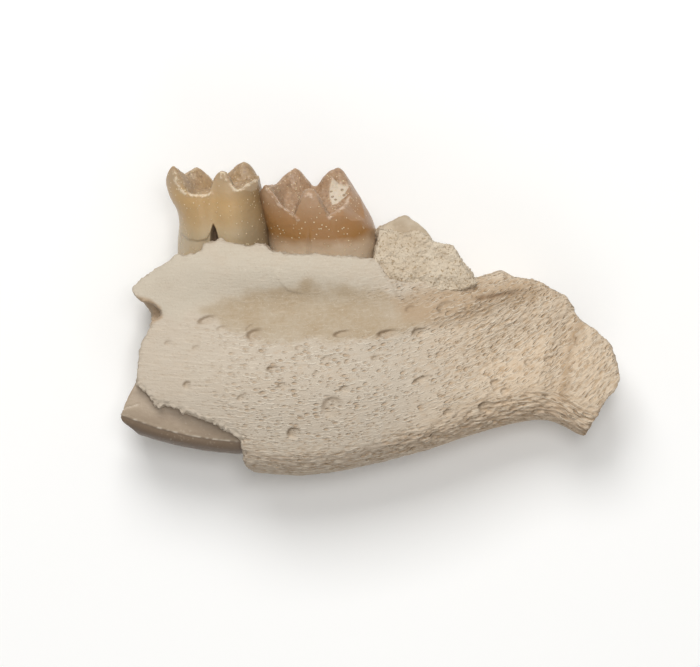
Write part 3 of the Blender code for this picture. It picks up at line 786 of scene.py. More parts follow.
def on_tooth(shape, line):
    """A line seen at dots of the photo, with its depth across the tooth, smoothed."""
    to_jaw = stood(shape)
    places = []
    for right, down, across in line:
        seen = np.array(plan(right, down)) - to_jaw[:2, 3] - to_jaw[:2, 1] * across
        along, height = np.linalg.solve(to_jaw[:2, [0, 2]], seen)
        places.append((along, across, height))
    if len(places) < 3:
        return np.array(places)
    order = np.arange(len(places))
    fine = np.linspace(0, len(places) - 1, 4 * len(places) - 3)
    return np.column_stack([through(*zip(order, values))(fine) for values in zip(*places)])


def crest_heights(crests, along, across):
    """Height of the crown and distance from the nearest crest line at each spot."""
    total, nearest = np.zeros(len(along)), np.full(len(along), 9.0)
    for slope, rounding, line in crests:
        best = np.full(len(along), -9.0)
        outer = OUTER_FALL if slope > SHARP_SLOPE else 1
        for start, end in zip(line, line[1:]):
            way = end[:2] - start[:2]
            share = ((along - start[0]) * way[0] + (across - start[1]) * way[1]) / (way @ way)
            share = np.clip(share, 0, 1)
            beside = along - start[0] - way[0] * share
            behind = across - start[1] - way[1] * share
            fall = np.hypot(beside, np.where(behind < 0, outer * behind, behind))
            height = start[2] + (end[2] - start[2]) * share
            best = np.maximum(best, height - slope * (np.hypot(fall, rounding) - rounding))
            if slope > FLOOR_SLOPE:
                nearest = np.minimum(nearest, np.hypot(beside, behind))
        total += np.exp(best / CREST_BLEND)
    return CREST_BLEND * np.log(total), nearest


print("crests closer than", CREST_BLEND, "mm melt together")


# %% Walls of a cheek tooth
def tooth_walls(shape, a, b, height):
    """Place along and across the tooth of square (a, b) at a height."""
    u, v = a * np.sqrt(1 - b * b / 2), b * np.sqrt(1 - a * a / 2)
    turn = np.arctan2(v, u)
    fuller = (np.abs(np.cos(turn)) ** 2.7 + np.abs(np.sin(turn)) ** 2.7) ** (-1 / 2.7)
    u, v = u * fuller, v * fuller
    front, back, near, far = (shape[side](height) for side in ("front", "back", "near", "far"))
    along = front + (back - front) * (u + 1) / 2
    pinch = np.exp(-(((along - shape["waist"]) / 0.42) ** 2)) * v * v
    far = far - 0.38 * pinch * (v > 0)
    near = near + shape["near_pinch"] * pinch * (v <= 0)
    return along, near + (far - near) * (v + 1) / 2


def walled_grid(name, cells, levels):
    """A grid whose rim is drawn down into walls, and closed below."""
    bpy.ops.mesh.primitive_grid_add(x_subdivisions=cells, y_subdivisions=cells, size=2)
    tooth = only(bpy.context.object)
    tooth.name = name
    bpy.ops.object.mode_set(mode="EDIT")
    bpy.ops.mesh.select_mode(type="EDGE")
    bpy.ops.mesh.select_all(action="DESELECT")
    bpy.ops.mesh.select_non_manifold()
    for _ in range(levels):
        bpy.ops.mesh.extrude_edges_move(TRANSFORM_OT_translate={"value": (0, 0, -1 / levels)})
    bpy.ops.mesh.fill()
    bpy.ops.object.mode_set(mode="OBJECT")
    face_outwards(tooth)
    return tooth


print("a tooth's walls start as the rim of a grid")

# %% [markdown]
# ## Wear and stain of a cheek tooth
# ## Wear, stain and painted light of a cheek tooth
# A used tooth has pale lines along its crests, partly wear and partly painted glints, a bare
# root under its enamel, a notch between its roots that gets painted shade, and here one whitish
# patch. Each is an outline or a line on the photo. It moves the surface a little, and is kept as
# a number, so that shape and finish agree.

# %% A cheek tooth
# The walls end under the bone's rim, at this y in mm.
WALL_FOOT = 1.9


def cheek_tooth(name, shape, cells=130, levels=80):
    """A cheek tooth down to below the bone's rim, with numbers on it for its finish."""
    tooth = walled_grid(name, cells, levels)
    to_jaw = stood(shape)
    crests = [(slope, rounding, on_tooth(shape, line)) for slope, rounding, line in shape["crests"]]
    a, b, drop = points_of(tooth).T
    drop = np.clip(-drop, 0, 1) ** 1.3
    # The walls' place hangs on the crown's height and the height on the place, so the two are
    # settled in turns.
    top = np.full(len(a), 3.0)
    for _ in range(10):
        top = 0.5 * top + 0.5 * crest_heights(crests, *tooth_walls(shape, a, b, top))[0]
    foot = (WALL_FOOT - shape["corner"][1]) / to_jaw[1, 2] - 0.36 * tooth_walls(shape, a, b, 0 * a)[1]
    height = top + (foot - top) * drop
    along, across = tooth_walls(shape, a, b, height)
    closeness = crest_heights(crests, along, across)[1]
    placed = np.column_stack([along, across, height, np.ones(len(a))]) @ to_jaw.T
    move_points(tooth, placed[:, :3])
    applied(tooth, "SMOOTH", factor=0.5, iterations=14)

    spots, facing = points_of(tooth), outward(tooth)
    x, y = spots[:, 0], spots[:, 1]
    on_top = ramp(drop, 0.02, 0.0)
    tongue_wall = ramp(facing[:, 2], 0.1, 0.5) * (1 - on_top)
    not_below = ramp(facing[:, 2], -0.2, 0.1)
    basin = ramp(way_to(shape["basin"], x, y) + 0.04 * lumps(spots, 0.2, 15), 0.05, -0.06)
    # Pale lines along the crests: partly wear, partly painted glints where the enamel would catch the
    # light.
    worn = np.zeros(len(x))
    for line in shape["worn"]:
        worn = np.maximum(worn, ramp(way_from(line, x, y) + 0.05 * lumps(spots, 0.09, 16), 0.10, 0.03))
    worn *= ramp(drop, 0.5, 0.4) * not_below
    bare = ramp(way_to(shape["root"], x, y), 0.03, -0.03) * tongue_wall
    # The notch between the roots gets painted shade in the finish, as well as a cut.
    notch = ramp(way_to(shape["notch"], x, y), 0.05, -0.12) * tongue_wall
    patch = ramp(way_to(shape["patch"], x, y), 0.015, -0.03) * not_below * ramp(drop, 0.12, 0.03)
    moves = 0.018 * lumps(spots, 0.5, 3) + 0.006 * lumps(spots, 0.14, 8)
    moves += on_top * basin * 0.018 * lumps(spots, 0.1, 5)
    moves += 0.02 * worn - 0.06 * bare - shape["notch_depth"] * notch - 0.05 * patch
    move_points(tooth, spots + facing * moves[:, None])
    for number, values in (
        ("height", height),
        ("along", along),
        ("crest", 0.4 * ramp(closeness, 0.12, 0.03) * ramp(drop, 0.03, 0.0)),
        ("crown_top", on_top * basin),
        ("worn", worn),
        ("bare_root", bare),
        ("notch", notch * min(1, 2 * shape["notch_depth"])),
        ("patch", patch * shape["whiteness"]),
    ):
        keep_numbers(tooth, number, values)
    report(tooth)
    return tooth


print("walls end at y =", WALL_FOOT, "mm")

# %% [markdown]
# ## Shapes of the two cheek teeth
# The first tooth is narrower, with a bare root in front and a fork between its roots. The second
# is larger and has a whitish patch on its rear cusp. Their walls are given as smooth functions
# of the height, because a crown leans and bulges on its way up. Their lines are given where
# the photo shows them.

# %% First cheek tooth
# Each crest: how steeply the enamel falls from it, its rounding in mm, and its line in dots
# across and down, with its depth across the tooth in mm.
FIRST = {
    "corner": (-7.75, 2.0, 4.25),
    "front": through(
        (-1, -0.1), (0.5, -0.09), (1.5, 0.0), (2.1, -0.07), (2.7, -0.36), (3.2, -0.47), (3.7, -0.55),
        (4.3, -0.48),
    ),
    "back": through((-1, 3.60), (0.5, 3.66), (1.6, 3.60), (2.6, 3.36), (3.4, 3.2), (4.3, 3.0)),
    "near": through((-1, 0.1), (0.5, 0.0), (1.8, -0.08), (3.0, 0.0), (4.3, 0.25)),
    "far": through((-1, 3.0), (0.5, 3.1), (1.8, 3.15), (2.8, 3.0), (4.3, 2.7)),
    "waist": 1.5,
    "near_pinch": 0.18,
    "crests": (
        (2.2, 0.28, ((174, 167, 0.45), (179, 171, 0.9), (184, 174, 1.6), (190, 170, 2.1), (196, 167, 2.4))),
        (3.4, 0.16, (
            (174, 167, 0.42), (177.5, 176, 0.32), (181, 187, 0.22), (186, 193, 0.17), (192, 195, 0.15),
            (200, 195.6, 0.16), (208, 195.4, 0.22), (213, 192, 0.28), (215.5, 183, 0.34),
            (218, 175, 0.40), (223, 171.6, 0.42), (228, 175, 0.40), (231, 184, 0.28), (236, 190, 0.24),
            (241, 190, 0.32),
            (247, 186, 0.65), (255, 180.5, 1.2), (261, 178, 1.6))),
        (2.2, 0.3, (
            (196, 167, 2.4), (203, 172, 2.5), (210, 180, 2.5), (216, 181, 2.5), (226, 175, 2.5),
            (235, 167, 2.45),
            (243.6, 161, 2.35), (249, 167, 2.3), (253, 174, 2.2), (258, 175.5, 1.9), (262, 179, 1.6))),
        (0.5, 0.6, ((190, 191, 1.2), (206, 191, 1.2))),
        (0.6, 0.4, ((238, 183, 1.3), (250, 181, 1.5))),
    ),
    "root": (
        (160, 225), (170, 227), (176, 228), (181, 234), (188, 239.6), (198, 241.4), (207, 239.6),
        (210.6, 233), (213.6, 227), (217, 233), (219, 241), (223, 262), (160, 270),
    ),
    "notch": ((213.6, 225), (215.6, 230), (217, 237), (218, 250), (211, 250), (211.4, 238), (212.2, 230)),
    "notch_depth": 0.5,
    "basin": (
        (174, 167), (178, 176), (183, 192), (200, 196), (213, 192), (219, 175), (223, 172), (231, 184),
        (238, 190.5), (255, 180.5), (262, 179), (253, 172), (243.6, 158), (235, 164), (226, 172),
        (216, 178), (210, 177), (203, 169), (196, 163), (190, 167), (184, 171), (179, 169),
    ),
    # Pale lines along the crests, partly wear and partly painted glints.
    "worn": (
        (
            (175, 172), (176.5, 181), (181.5, 190.5), (186, 194), (192, 196), (200, 196.4), (206, 196),
            (212, 195),
        ),
        ((222, 178), (222, 174.5), (225, 175), (226.4, 180)),
        ((231, 186), (236, 191), (241, 190.4), (255, 180.6)),
    ),
    "whiteness": 0.3,
    "patch": ((190, 171), (195, 172), (196, 177), (192, 179), (188, 175)),
}
first_tooth = cheek_tooth("first_cheek_tooth", FIRST)

# %% Second cheek tooth
NOWHERE = ((0, 0), (1, 0), (1, 1))
SECOND = {
    "corner": (-4.15, 2.0, 4.40),
    "front": through((-1, 0.0), (0.8, -0.06), (1.3, -0.12), (2.0, -0.26), (2.8, -0.36), (3.6, -0.34)),
    "back": through((-1, 4.15), (0.5, 4.32), (1.15, 4.2), (1.9, 3.85), (2.9, 3.36), (3.6, 3.2)),
    "near": through((-1, 0.1), (0.5, 0.0), (1.5, -0.10), (2.6, -0.02), (3.6, 0.25)),
    "far": through((-1, 3.2), (0.5, 3.35), (1.5, 3.45), (2.4, 3.3), (3.6, 2.9)),
    "waist": 1.75,
    "near_pinch": -0.03,
    "crests": (
        (2.2, 0.28, ((266, 186, 0.5), (270, 185, 1.2), (278, 183, 1.9), (286, 174, 2.4), (295, 168, 2.6))),
        (3.6, 0.16, (
            (266, 185, 0.42), (270, 190, 0.30), (276, 199, 0.18), (281, 206, 0.14), (289, 212, 0.14),
            (296, 217.5, 0.20), (299, 217.5, 0.22), (300.4, 208, 0.30), (301.6, 198, 0.36),
            (305, 191, 0.40), (310, 189, 0.42), (315, 191, 0.40), (318.6, 198, 0.34), (320.6, 208, 0.24),
            (324, 215, 0.18), (329, 216, 0.16), (336, 212, 0.30), (344, 206, 0.70), (348.5, 199, 1.3),
            (350, 190, 1.7),
            (347, 180, 2.1), (343, 171, 2.4), (338, 167, 2.5))),
        (2.2, 0.3, (
            (295, 168, 2.6), (301, 174, 2.6), (306, 182, 2.55), (312, 185, 2.5), (318, 184.5, 2.5),
            (325, 178, 2.5), (331, 170, 2.5), (338, 167, 2.5))),
        (0.8, 0.4, ((286, 207, 0.9), (290, 190, 1.9))),
        (0.8, 0.4, ((334, 203, 1.0), (336, 186, 1.9))),
    ),
    "root": NOWHERE,
    "notch": ((309, 228), (311, 244), (313, 262), (305, 262), (307, 244)),
    "notch_depth": 0.05,
    "basin": (
        (266, 186), (276, 200), (281, 207), (289, 213), (298, 221), (301, 212), (303, 199), (309.5, 190),
        (316, 194), (321, 210), (326, 218), (336, 213), (344, 207), (349, 199), (351, 190), (347, 176),
        (338, 163), (330, 168), (318, 182), (306, 180), (295, 164), (286, 172), (278, 181), (270, 182),
    ),
    # Pale lines, partly wear and partly painted glints; the small crescent on the middle cusp is a painted
    # glint.
    "worn": (
        ((265, 186), (268, 190.6), (276, 200), (281, 207), (286, 210.4), (292, 214), (298, 220.6)),
        ((307, 197), (308.4, 195), (310.8, 195.4), (311.6, 198)), ((329, 218), (336, 213),
        (344.6, 206.6), (349, 197)),
        ((349, 186), (341, 183)),
    ),
    "whiteness": 1.0,
    "patch": (
        (332, 176), (339, 183), (349, 186), (345, 193), (348, 194), (338, 203), (332, 205), (329, 196),
        (329, 187),
    ),
}
second_tooth = cheek_tooth("second_cheek_tooth", SECOND)

# %% [markdown]
# ## Front tooth
# A rodent's front tooth is a long curved rod that runs back under the cheek teeth. Enamel
# covers only its outer, lower side, and the enamel's edge is a faint ridge along its flank.
# The same bent rod that cut the bone's channel, a hair thinner, is cut off aslant in front.

# %% Front tooth
FRONT_TOOTH_LEFT = (
    (137, 380), (131, 391), (126.6, 401), (122.4, 410), (119.8, 417), (120.6, 421), (124, 424.6),
    (130, 429), (142, 440), (240, 480), (330, 480), (330, 330), (140, 330),
)
front_tooth = bent_rod(
    "front_tooth", depth=3.2, width=2.6, middle_z=3.02, start=-11.6, end=-4.2, rings=60, sides=64
)
tooth_outline = jagged((*FRONT_TOOTH_LEFT, FRONT_TOOTH_LEFT[0]), 3, 0.5, 8)[:-1]
cut(front_tooth, slab("front_tooth_left", tooth_outline, CLEAR_BELOW, CLEAR_ABOVE), "INTERSECT")
applied(front_tooth, "REMESH", mode="VOXEL", voxel_size=0.05)
applied(front_tooth, "SMOOTH", factor=0.5, iterations=4)
spots, facing = points_of(front_tooth), outward(front_tooth)
x, y, z = spots.T
bend = np.hypot(x - INCISOR_LOWEST[0], y - INCISOR_LOWEST[1] - INCISOR_ARC)
ridge_bend = INCISOR_ARC - 0.56 - 0.02 * lumps(spots, 0.6)
ridge = ramp(np.abs(bend - ridge_bend), 0.055, 0.0) * ramp(z, 2.6, 3.0)
enamel_side = ramp(bend - ridge_bend, -0.05, 0.05)
crack_line = plan(137, 405)[1] + (x - plan(137, 0)[0]) * 0.3 + 0.05 * lumps(spots, 0.15, 4)
crack = ramp(np.abs(y - crack_line), 0.05, 0.0) * ramp(z, 2.6, 3.0)
crack = crack * ramp(x, plan(141, 0)[0], plan(137, 0)[0])
moves = 0.035 * ridge - 0.03 * enamel_side - 0.04 * crack
moves += 0.02 * lumps(spots, 0.6, 2) + 0.006 * lumps(spots, 0.15)
move_points(front_tooth, spots + facing * moves[:, None])
pale_line = ridge * ramp(lumps(spots, 0.22, 7), -0.2, 0.4) + crack * 0.5
keep_numbers(front_tooth, "ridge", np.clip(pale_line, 0, 1))
keep_numbers(front_tooth, "enamel_side", enamel_side)
# The outer edge, where the finish paints shade.
keep_numbers(front_tooth, "outermost", ramp(bend, INCISOR_ARC - 0.5, INCISOR_ARC - 0.1))
report(front_tooth)

# %% [markdown]
# ## Sandstone and the broken tooth
# The socket of the third tooth is full of sandstone, and the tooth's broken stump stands up
# in it. Crumbly stone is easiest as a slab whose edges are rounded off. It is remeshed, and
# then pushed in and out by noise of several sizes. The stump is made in the same way, only
# smoother.

# %% Sandstone and the broken tooth
STONE = (
    (376, 231), (380, 226), (386, 228), (400, 232), (414, 232), (426, 236), (434, 242), (444, 244.5),
    (451, 245.5), (456.4, 252.6), (461.4, 259.6), (465.6, 267), (472.6, 274.6), (478, 284), (462, 290),
    (446, 292), (434, 289), (424, 291), (411, 293), (400, 293), (387, 289), (378, 278), (373, 264),
    (375, 250), (377.4, 240),
)
STUMP = (
    (379, 231), (383, 225.4), (392, 220.8), (399, 217.6), (404.6, 215.2), (410, 218), (418.8, 223.2),
    (427.8, 232), (433.6, 242.6), (430, 262), (396, 262), (390, 246),
)


def pebble(name, outline, low, high, rounding, segments, voxel, smoothing):
    """A slab with rounded edges and an even skin of small faces."""
    piece = slab(name, outline, low, high)
    corner = math.radians(60)
    applied(piece, "BEVEL", width=rounding, segments=segments, limit_method="ANGLE", angle_limit=corner)
    applied(piece, "REMESH", mode="VOXEL", voxel_size=voxel)
    applied(piece, "SMOOTH", factor=0.5, iterations=smoothing)
    return piece


crumbled = jagged((*STONE, STONE[0]), 3.0, 1.2, 3.0)[:-1]
stone = pebble(
    "sandstone", crumbled, low=1.3, high=5.12, rounding=0.25, segments=3, voxel=0.055, smoothing=3
)
spots, facing = points_of(stone), outward(stone)
grains = ramp(np.linalg.norm(specks(spots, 0.16, 3), axis=1), 0.5, 0.1)
moves = 0.12 * lumps(spots, 0.8, 4) + 0.06 * lumps(spots, 0.3, 9) + 0.04 * lumps(spots, 0.11)
moves += 0.05 * (grains - 0.5)
sunk = 0.13 * ramp(spots[:, 1], 1.70, 1.35) * ramp(spots[:, 2], 3.0, 4.5)
move_points(stone, spots + facing * moves[:, None] - np.outer(sunk, (0, 0, 1)))
report(stone)

snapped = jagged((*STUMP, STUMP[0]), 4.0, 0.7, 5.0)[:-1]
stump = pebble(
    "broken_tooth", snapped, low=2.0, high=4.55, rounding=0.45, segments=4, voxel=0.05, smoothing=6
)
spots, facing = points_of(stump), outward(stump)
move_points(stump, spots + facing * (0.08 * lumps(spots, 0.8, 2) + 0.02 * lumps(spots, 0.2))[:, None])
report(stump)

# %% [markdown]
# ## Writing shader maths in Python
# A finish is a web of nodes. This small class wraps a node's output, so that `1 - mask` or
# `mask * 0.5` adds the Math node for us. Every other node comes from one method, which takes
# the node's type, its settings and what goes into its sockets.

# %% Numbers on a surface
class Value:
    """A number on a surface. Python's operators on it add Math nodes."""

    def __init__(self, finish, socket):
        self.finish, self.socket = finish, socket

    def maths(self, operation, *values, clamp=False):
        settings = {"operation": operation, "use_clamp": clamp}
        return self.finish.add("ShaderNodeMath", settings, values)

    def __add__(self, other):
        return self.maths("ADD", self, other)

    def __sub__(self, other):
        return self.maths("SUBTRACT", self, other)

    def __rsub__(self, other):
        return self.maths("SUBTRACT", other, self)

    def __mul__(self, other):
        return self.maths("MULTIPLY", self, other)

    def __truediv__(self, other):
        return self.maths("DIVIDE", self, other)

    __radd__, __rmul__ = __add__, __mul__

    def clamped(self):
        return self.maths("ADD", self, 0.0, clamp=True)

    def most(self, other):
        return self.maths("MAXIMUM", self, other)


print("numbers can be added, taken away, multiplied and divided")


# %% A finish
def set_stops(colour_ramp, stops):
    """Gives a colour ramp its colours, each at its place from 0 to 1."""
    while len(colour_ramp.elements) < len(stops):
        colour_ramp.elements.new(0.5)
    for element, (place, colour) in zip(colour_ramp.elements, stops):
        element.position = place
        element.color = (*colour, 1)


class Finish:
    """A material with its nodes."""

    def __init__(self, name, roughness):
        self.material = bpy.data.materials.new(name)
        self.material.use_nodes = True
        self.nodes = self.material.node_tree.nodes
        self.links = self.material.node_tree.links
        self.shader = self.nodes["Principled BSDF"]
        self.shader.inputs["Roughness"].default_value = roughness
        self.coordinates = self.add("ShaderNodeTexCoord", output="Object")

    def add(self, kind, settings=None, inputs=(), output=0):
        """Adds a node: its settings first, then its inputs by number or name, and gives one output."""
        node = self.nodes.new(kind)
        for name, value in (settings or {}).items():
            if name == "stops":
                set_stops(node.color_ramp, value)
            else:
                setattr(node, name, value)
        pairs = inputs.items() if isinstance(inputs, dict) else enumerate(inputs)
        for key, value in pairs:
            if isinstance(value, Value):
                self.links.new(value.socket, node.inputs[key])
            else:
                node.inputs[key].default_value = value
        return Value(self, node.outputs[output])

    def number(self, name):
        """A number that was kept on the piece's points."""
        return self.add("ShaderNodeAttribute", {"attribute_name": name}, output="Fac")

    def mottle(self, size_mm, detail=4.0, rough=0.55, stretch=(1, 1, 1), shift=0.0):
        """Noise from 0 to 1 with patches of this size."""
        settings = {"Vector": self.coordinates, "Scale": stretch, "Location": (shift, 0, 0)}
        place = self.add("ShaderNodeMapping", None, settings)
        inputs = {"Vector": place, "Scale": 1000 / size_mm, "Detail": detail, "Roughness": rough}
        return self.add("ShaderNodeTexNoise", None, inputs, "Fac")

    def dots(self, size_mm):
        """Distance from 0 to about 1 to scattered dots of this spacing."""
        inputs = {"Vector": self.coordinates, "Scale": 1000 / size_mm}
        return self.add("ShaderNodeTexVoronoi", None, inputs, "Distance")

    def between(self, value, low, high):
        """0 at low and 1 at high."""
        settings = {"interpolation_type": "SMOOTHSTEP"}
        inputs = {"Value": value, "From Min": low, "From Max": high}
        return self.add("ShaderNodeMapRange", settings, inputs)

    def blend(self, amount, first, second):
        """Mixes two colours."""
        first, second = ((*c, 1) if isinstance(c, tuple) else c for c in (first, second))
        return self.add("ShaderNodeMix", {"data_type": "RGBA"}, {0: amount, 6: first, 7: second}, 2)

    def painted(self, tone, layers):
        """Paints layers over a colour, each with how much of it shows and its own colour."""
        for amount, colour in layers:
            tone = self.blend(amount, tone, colour)
        return tone

    def colour(self, value):
        self.links.new(value.socket, self.shader.inputs["Base Color"])

    def roughness(self, value):
        self.links.new(value.socket, self.shader.inputs["Roughness"])

    def bump(self, height, depth_mm):
        """Lets a height from 0 to 1 tilt the light as bumps this deep would."""
        bumped = self.add("ShaderNodeBump", None, {"Height": height, "Distance": depth_mm / 1000}, "Normal")
        self.links.new(bumped.socket, self.shader.inputs["Normal"])


print("a finish starts with a plain shader")

# %% [markdown]
# ## Pores and fibres in the finish
# The finest pores are too small to model, so they are drawn by the material. A Voronoi texture
# on coordinates that are drawn out along the fibre scatters them. Each pore fades out
# backwards like the real ones, and its lower rim gets a painted highlight, as if it caught the
# light. A chance number for each decides whether it is there at all, so the pores don't stand in rows.

# %% Pores and fibres
bone_finish = Finish("fossil_bone", 0.82)
number, between = bone_finish.number, bone_finish.between


def drawn_out(along, across, length, width):
    """Coordinates in which one unit is this many mm along and across the fibre."""
    return bone_finish.add("ShaderNodeCombineXYZ", None, [along / length, across / width, 0.0])


def pores(along, across, length, width, full):
    """Pores along the fibres, in this share of the places, and the painted highlight on the lower rim of
    each.
    """
    place = drawn_out(along, across, length, width)
    scattered = bone_finish.add("ShaderNodeTexVoronoi", None, {"Vector": place, "Scale": 1.0}, "Distance")
    outputs = scattered.socket.node.outputs
    middle, chance = (Value(bone_finish, outputs[name]) for name in ("Position", "Color"))
    chance = bone_finish.add("ShaderNodeSeparateColor", None, [chance])
    offset = bone_finish.add("ShaderNodeVectorMath", {"operation": "SUBTRACT"}, [place, middle])
    behind, above = (bone_finish.add("ShaderNodeSeparateXYZ", None, [offset], axis) for axis in "XY")
    bowl = between(scattered + chance * 0.15, 0.44, 0.22) * between(behind, 0.40, -0.24)
    # Painted highlight: a pale band on the lower rim of each pore, as if it caught the light; the bump
    # raises this rim too.
    lit_lip = between(scattered, 0.30, 0.44) * between(scattered, 0.62, 0.5) * between(above, 0.0, -0.3)
    chosen = between(chance, full, full - 0.05)
    return bowl * chosen, lit_lip * chosen


def fibre_noise(along, across, length, width, detail=3.0):
    """Noise drawn out along the fibres."""
    place = drawn_out(along, across, length, width)
    inputs = {"Vector": place, "Scale": 1.0, "Detail": detail}
    return bone_finish.add("ShaderNodeTexNoise", None, inputs, "Fac")


along, across, border = number("along"), number("across"), number("from_border")
place_x, near_border, calm = number("place_x"), number("near_border"), number("calm")
cloudy = bone_finish.mottle(4.0, 3)
patches = bone_finish.mottle(1.1, 5)
fine = bone_finish.mottle(0.2, 4, 0.65)
grain = bone_finish.mottle(0.07, 3, 0.6)
streaks = fibre_noise(along, across, 0.9, 0.09)
border_streaks = fibre_noise(place_x, border, 0.6, 0.10)
ripples = fibre_noise(along, across, 0.42, 0.15, 2.0)
border_ripples = fibre_noise(place_x, border, 0.5, 0.17, 2.0)
behind_front = between(place_x, -8.5, -3.5)
open_bone = between(patches + fine * 0.3, 0.36, 0.64) * calm * behind_front
fresh = calm * (behind_front * 0.45 + 0.15)
back = between(place_x, 0.5, 4.5) * (1 - near_border) * calm
swept_pores, swept_lit_lips = pores(along, across, 0.42, 0.2, 0.88)
small_pores, small_lit_lips = pores(along + 7.3, across, 0.25, 0.125, 0.75)
border_pores, border_lit_lips = pores(place_x, border, 0.34, 0.17, 0.9)
swept_pores = (swept_pores * open_bone).most(small_pores * fresh)
swept_lit_lips = (swept_lit_lips * open_bone).most(small_lit_lips * fresh)
all_pores = (swept_pores * (1 - near_border)).most(border_pores * near_border)
all_lit_lips = (swept_lit_lips * (1 - near_border)).most(border_lit_lips * near_border)
print("pores and fibres:", len(bone_finish.nodes), "nodes")

# %% [markdown]
# ## Colours of the bone
# The fossil bone is dry and matt. It is pale cream at the tooth rims, brown in the smooth
# hollow beside the tongue, a warmer cream at the back, and darker in every pit. Broken edges
# are a shade browner. Painted shade darkens the lower border, the crease at the back and the
# front and upper rims of the openings, and painted highlights lighten the lower rims of the
# pores. We paint it in layers, from the broadest to the smallest, because later layers lie on
# top. What each shows comes from noise and from the numbers kept on the points.

# %% Colours of the bone
soft = 0.35 + calm * 0.65
warm = between(place_x + (cloudy - 0.5) * 7, 0.0, 6.0)
brown = between(number("brown_hollow") + (fine - 0.5) * 0.7 + (patches - 0.5) * 0.7, 0.15, 0.85)
broad = (
    (between(place_x, 2.0, -2.0) * between(calm, 0.7, 0.2), (0.545, 0.478, 0.38)),
    (between(patches, 0.42, 0.72) * 0.35, (0.53, 0.435, 0.33)),
    (brown * (0.62 + (patches - fine) * 0.7).clamped(), (0.362, 0.262, 0.15)),
)
fibres = (
    (between(streaks, 0.52, 0.75) * 0.3 * soft, (0.72, 0.63, 0.51)),
    (between(streaks, 0.45, 0.28) * 0.4 * soft, (0.43, 0.335, 0.235)),
    (between(grain, 0.57, 0.75) * 0.40, (0.43, 0.34, 0.24)),
    (between(grain, 0.42, 0.27) * 0.3, (0.74, 0.67, 0.56)),
)
bands = (
    # The tan band and the facets are painted tan; along the crease at the back the same layer is painted
    # shade.
    (number("tan_band") * (0.4 + streaks * 0.7).clamped(), (0.42, 0.30, 0.19)),
    (near_border * between(border_streaks, 0.52, 0.3) * 0.7, (0.34, 0.225, 0.13)),
    (near_border * between(place_x, 0.0, 4.0) * 0.15, (0.40, 0.275, 0.165)),
    # Painted shade along the lower border, which turns away from the light from above.
    (between(border + (fine - 0.5) * 0.3, 0.42, 0.05) * 0.35, (0.27, 0.195, 0.135)),
)
rippled = (
    (between(ripples, 0.49, 0.33) * back * 0.6, (0.47, 0.315, 0.175)),
    (between(ripples, 0.55, 0.7) * back * 0.3, (0.78, 0.68, 0.54)),
    (between(border_ripples, 0.47, 0.32) * near_border * 0.48, (0.30, 0.19, 0.105)),
    (between(border_ripples, 0.54, 0.7) * near_border * 0.45, (0.80, 0.69, 0.54)),
)
pitted = (
    # Painted highlight on the lower rims of the pores.
    (all_lit_lips * 0.5, (0.82, 0.74, 0.61)),
    (all_pores * 0.6, (0.47, 0.305, 0.165)),
    (number("pore") * 0.4, (0.45, 0.30, 0.17)),
    (number("opening") * 0.4, (0.44, 0.33, 0.22)),
    # Painted shade along the front and upper rims of the larger openings.
    (number("dark_rim") * 0.65, (0.24, 0.165, 0.10)),
    (number("muscle_line") * 0.95, (0.25, 0.155, 0.085)),
    (number("broken") * (0.15 + fine * 0.35), (0.43, 0.34, 0.245)),
    (number("sponge") * 0.4, (0.30, 0.22, 0.15)),
)
tone = bone_finish.blend(warm, (0.54, 0.464, 0.37), (0.665, 0.53, 0.385))
bone_finish.colour(bone_finish.painted(tone, (*broad, *fibres, *bands, *rippled, *pitted)))
bone_finish.roughness(0.7 + fine * 0.25)
height = fine * 0.45 + grain * 0.4 + streaks * 0.5 * soft - all_pores * 1.3 + all_lit_lips * 0.5
height += border_streaks * near_border * 0.9 + ripples * back * 1.7 + border_ripples * near_border * 1.8
bone_finish.bump(height, 0.042)
print("bone finish:", len(bone_finish.nodes), "nodes")

# %% [markdown]
# ## Finish of the enamel
# Enamel is glassy and lets light in a little way. These teeth are stained: amber over the
# crown and grey-beige near the bone, with whitish crests, and tiny pale grains of stone stuck to
# them. Pale lines along the crests are partly wear and partly painted glints, and painted shade
# darkens the back of each tooth and the notch between the roots. A thin clear coat gives the
# wet-looking glints, and it is left off along those pale lines and where the tooth is patched or dusty.

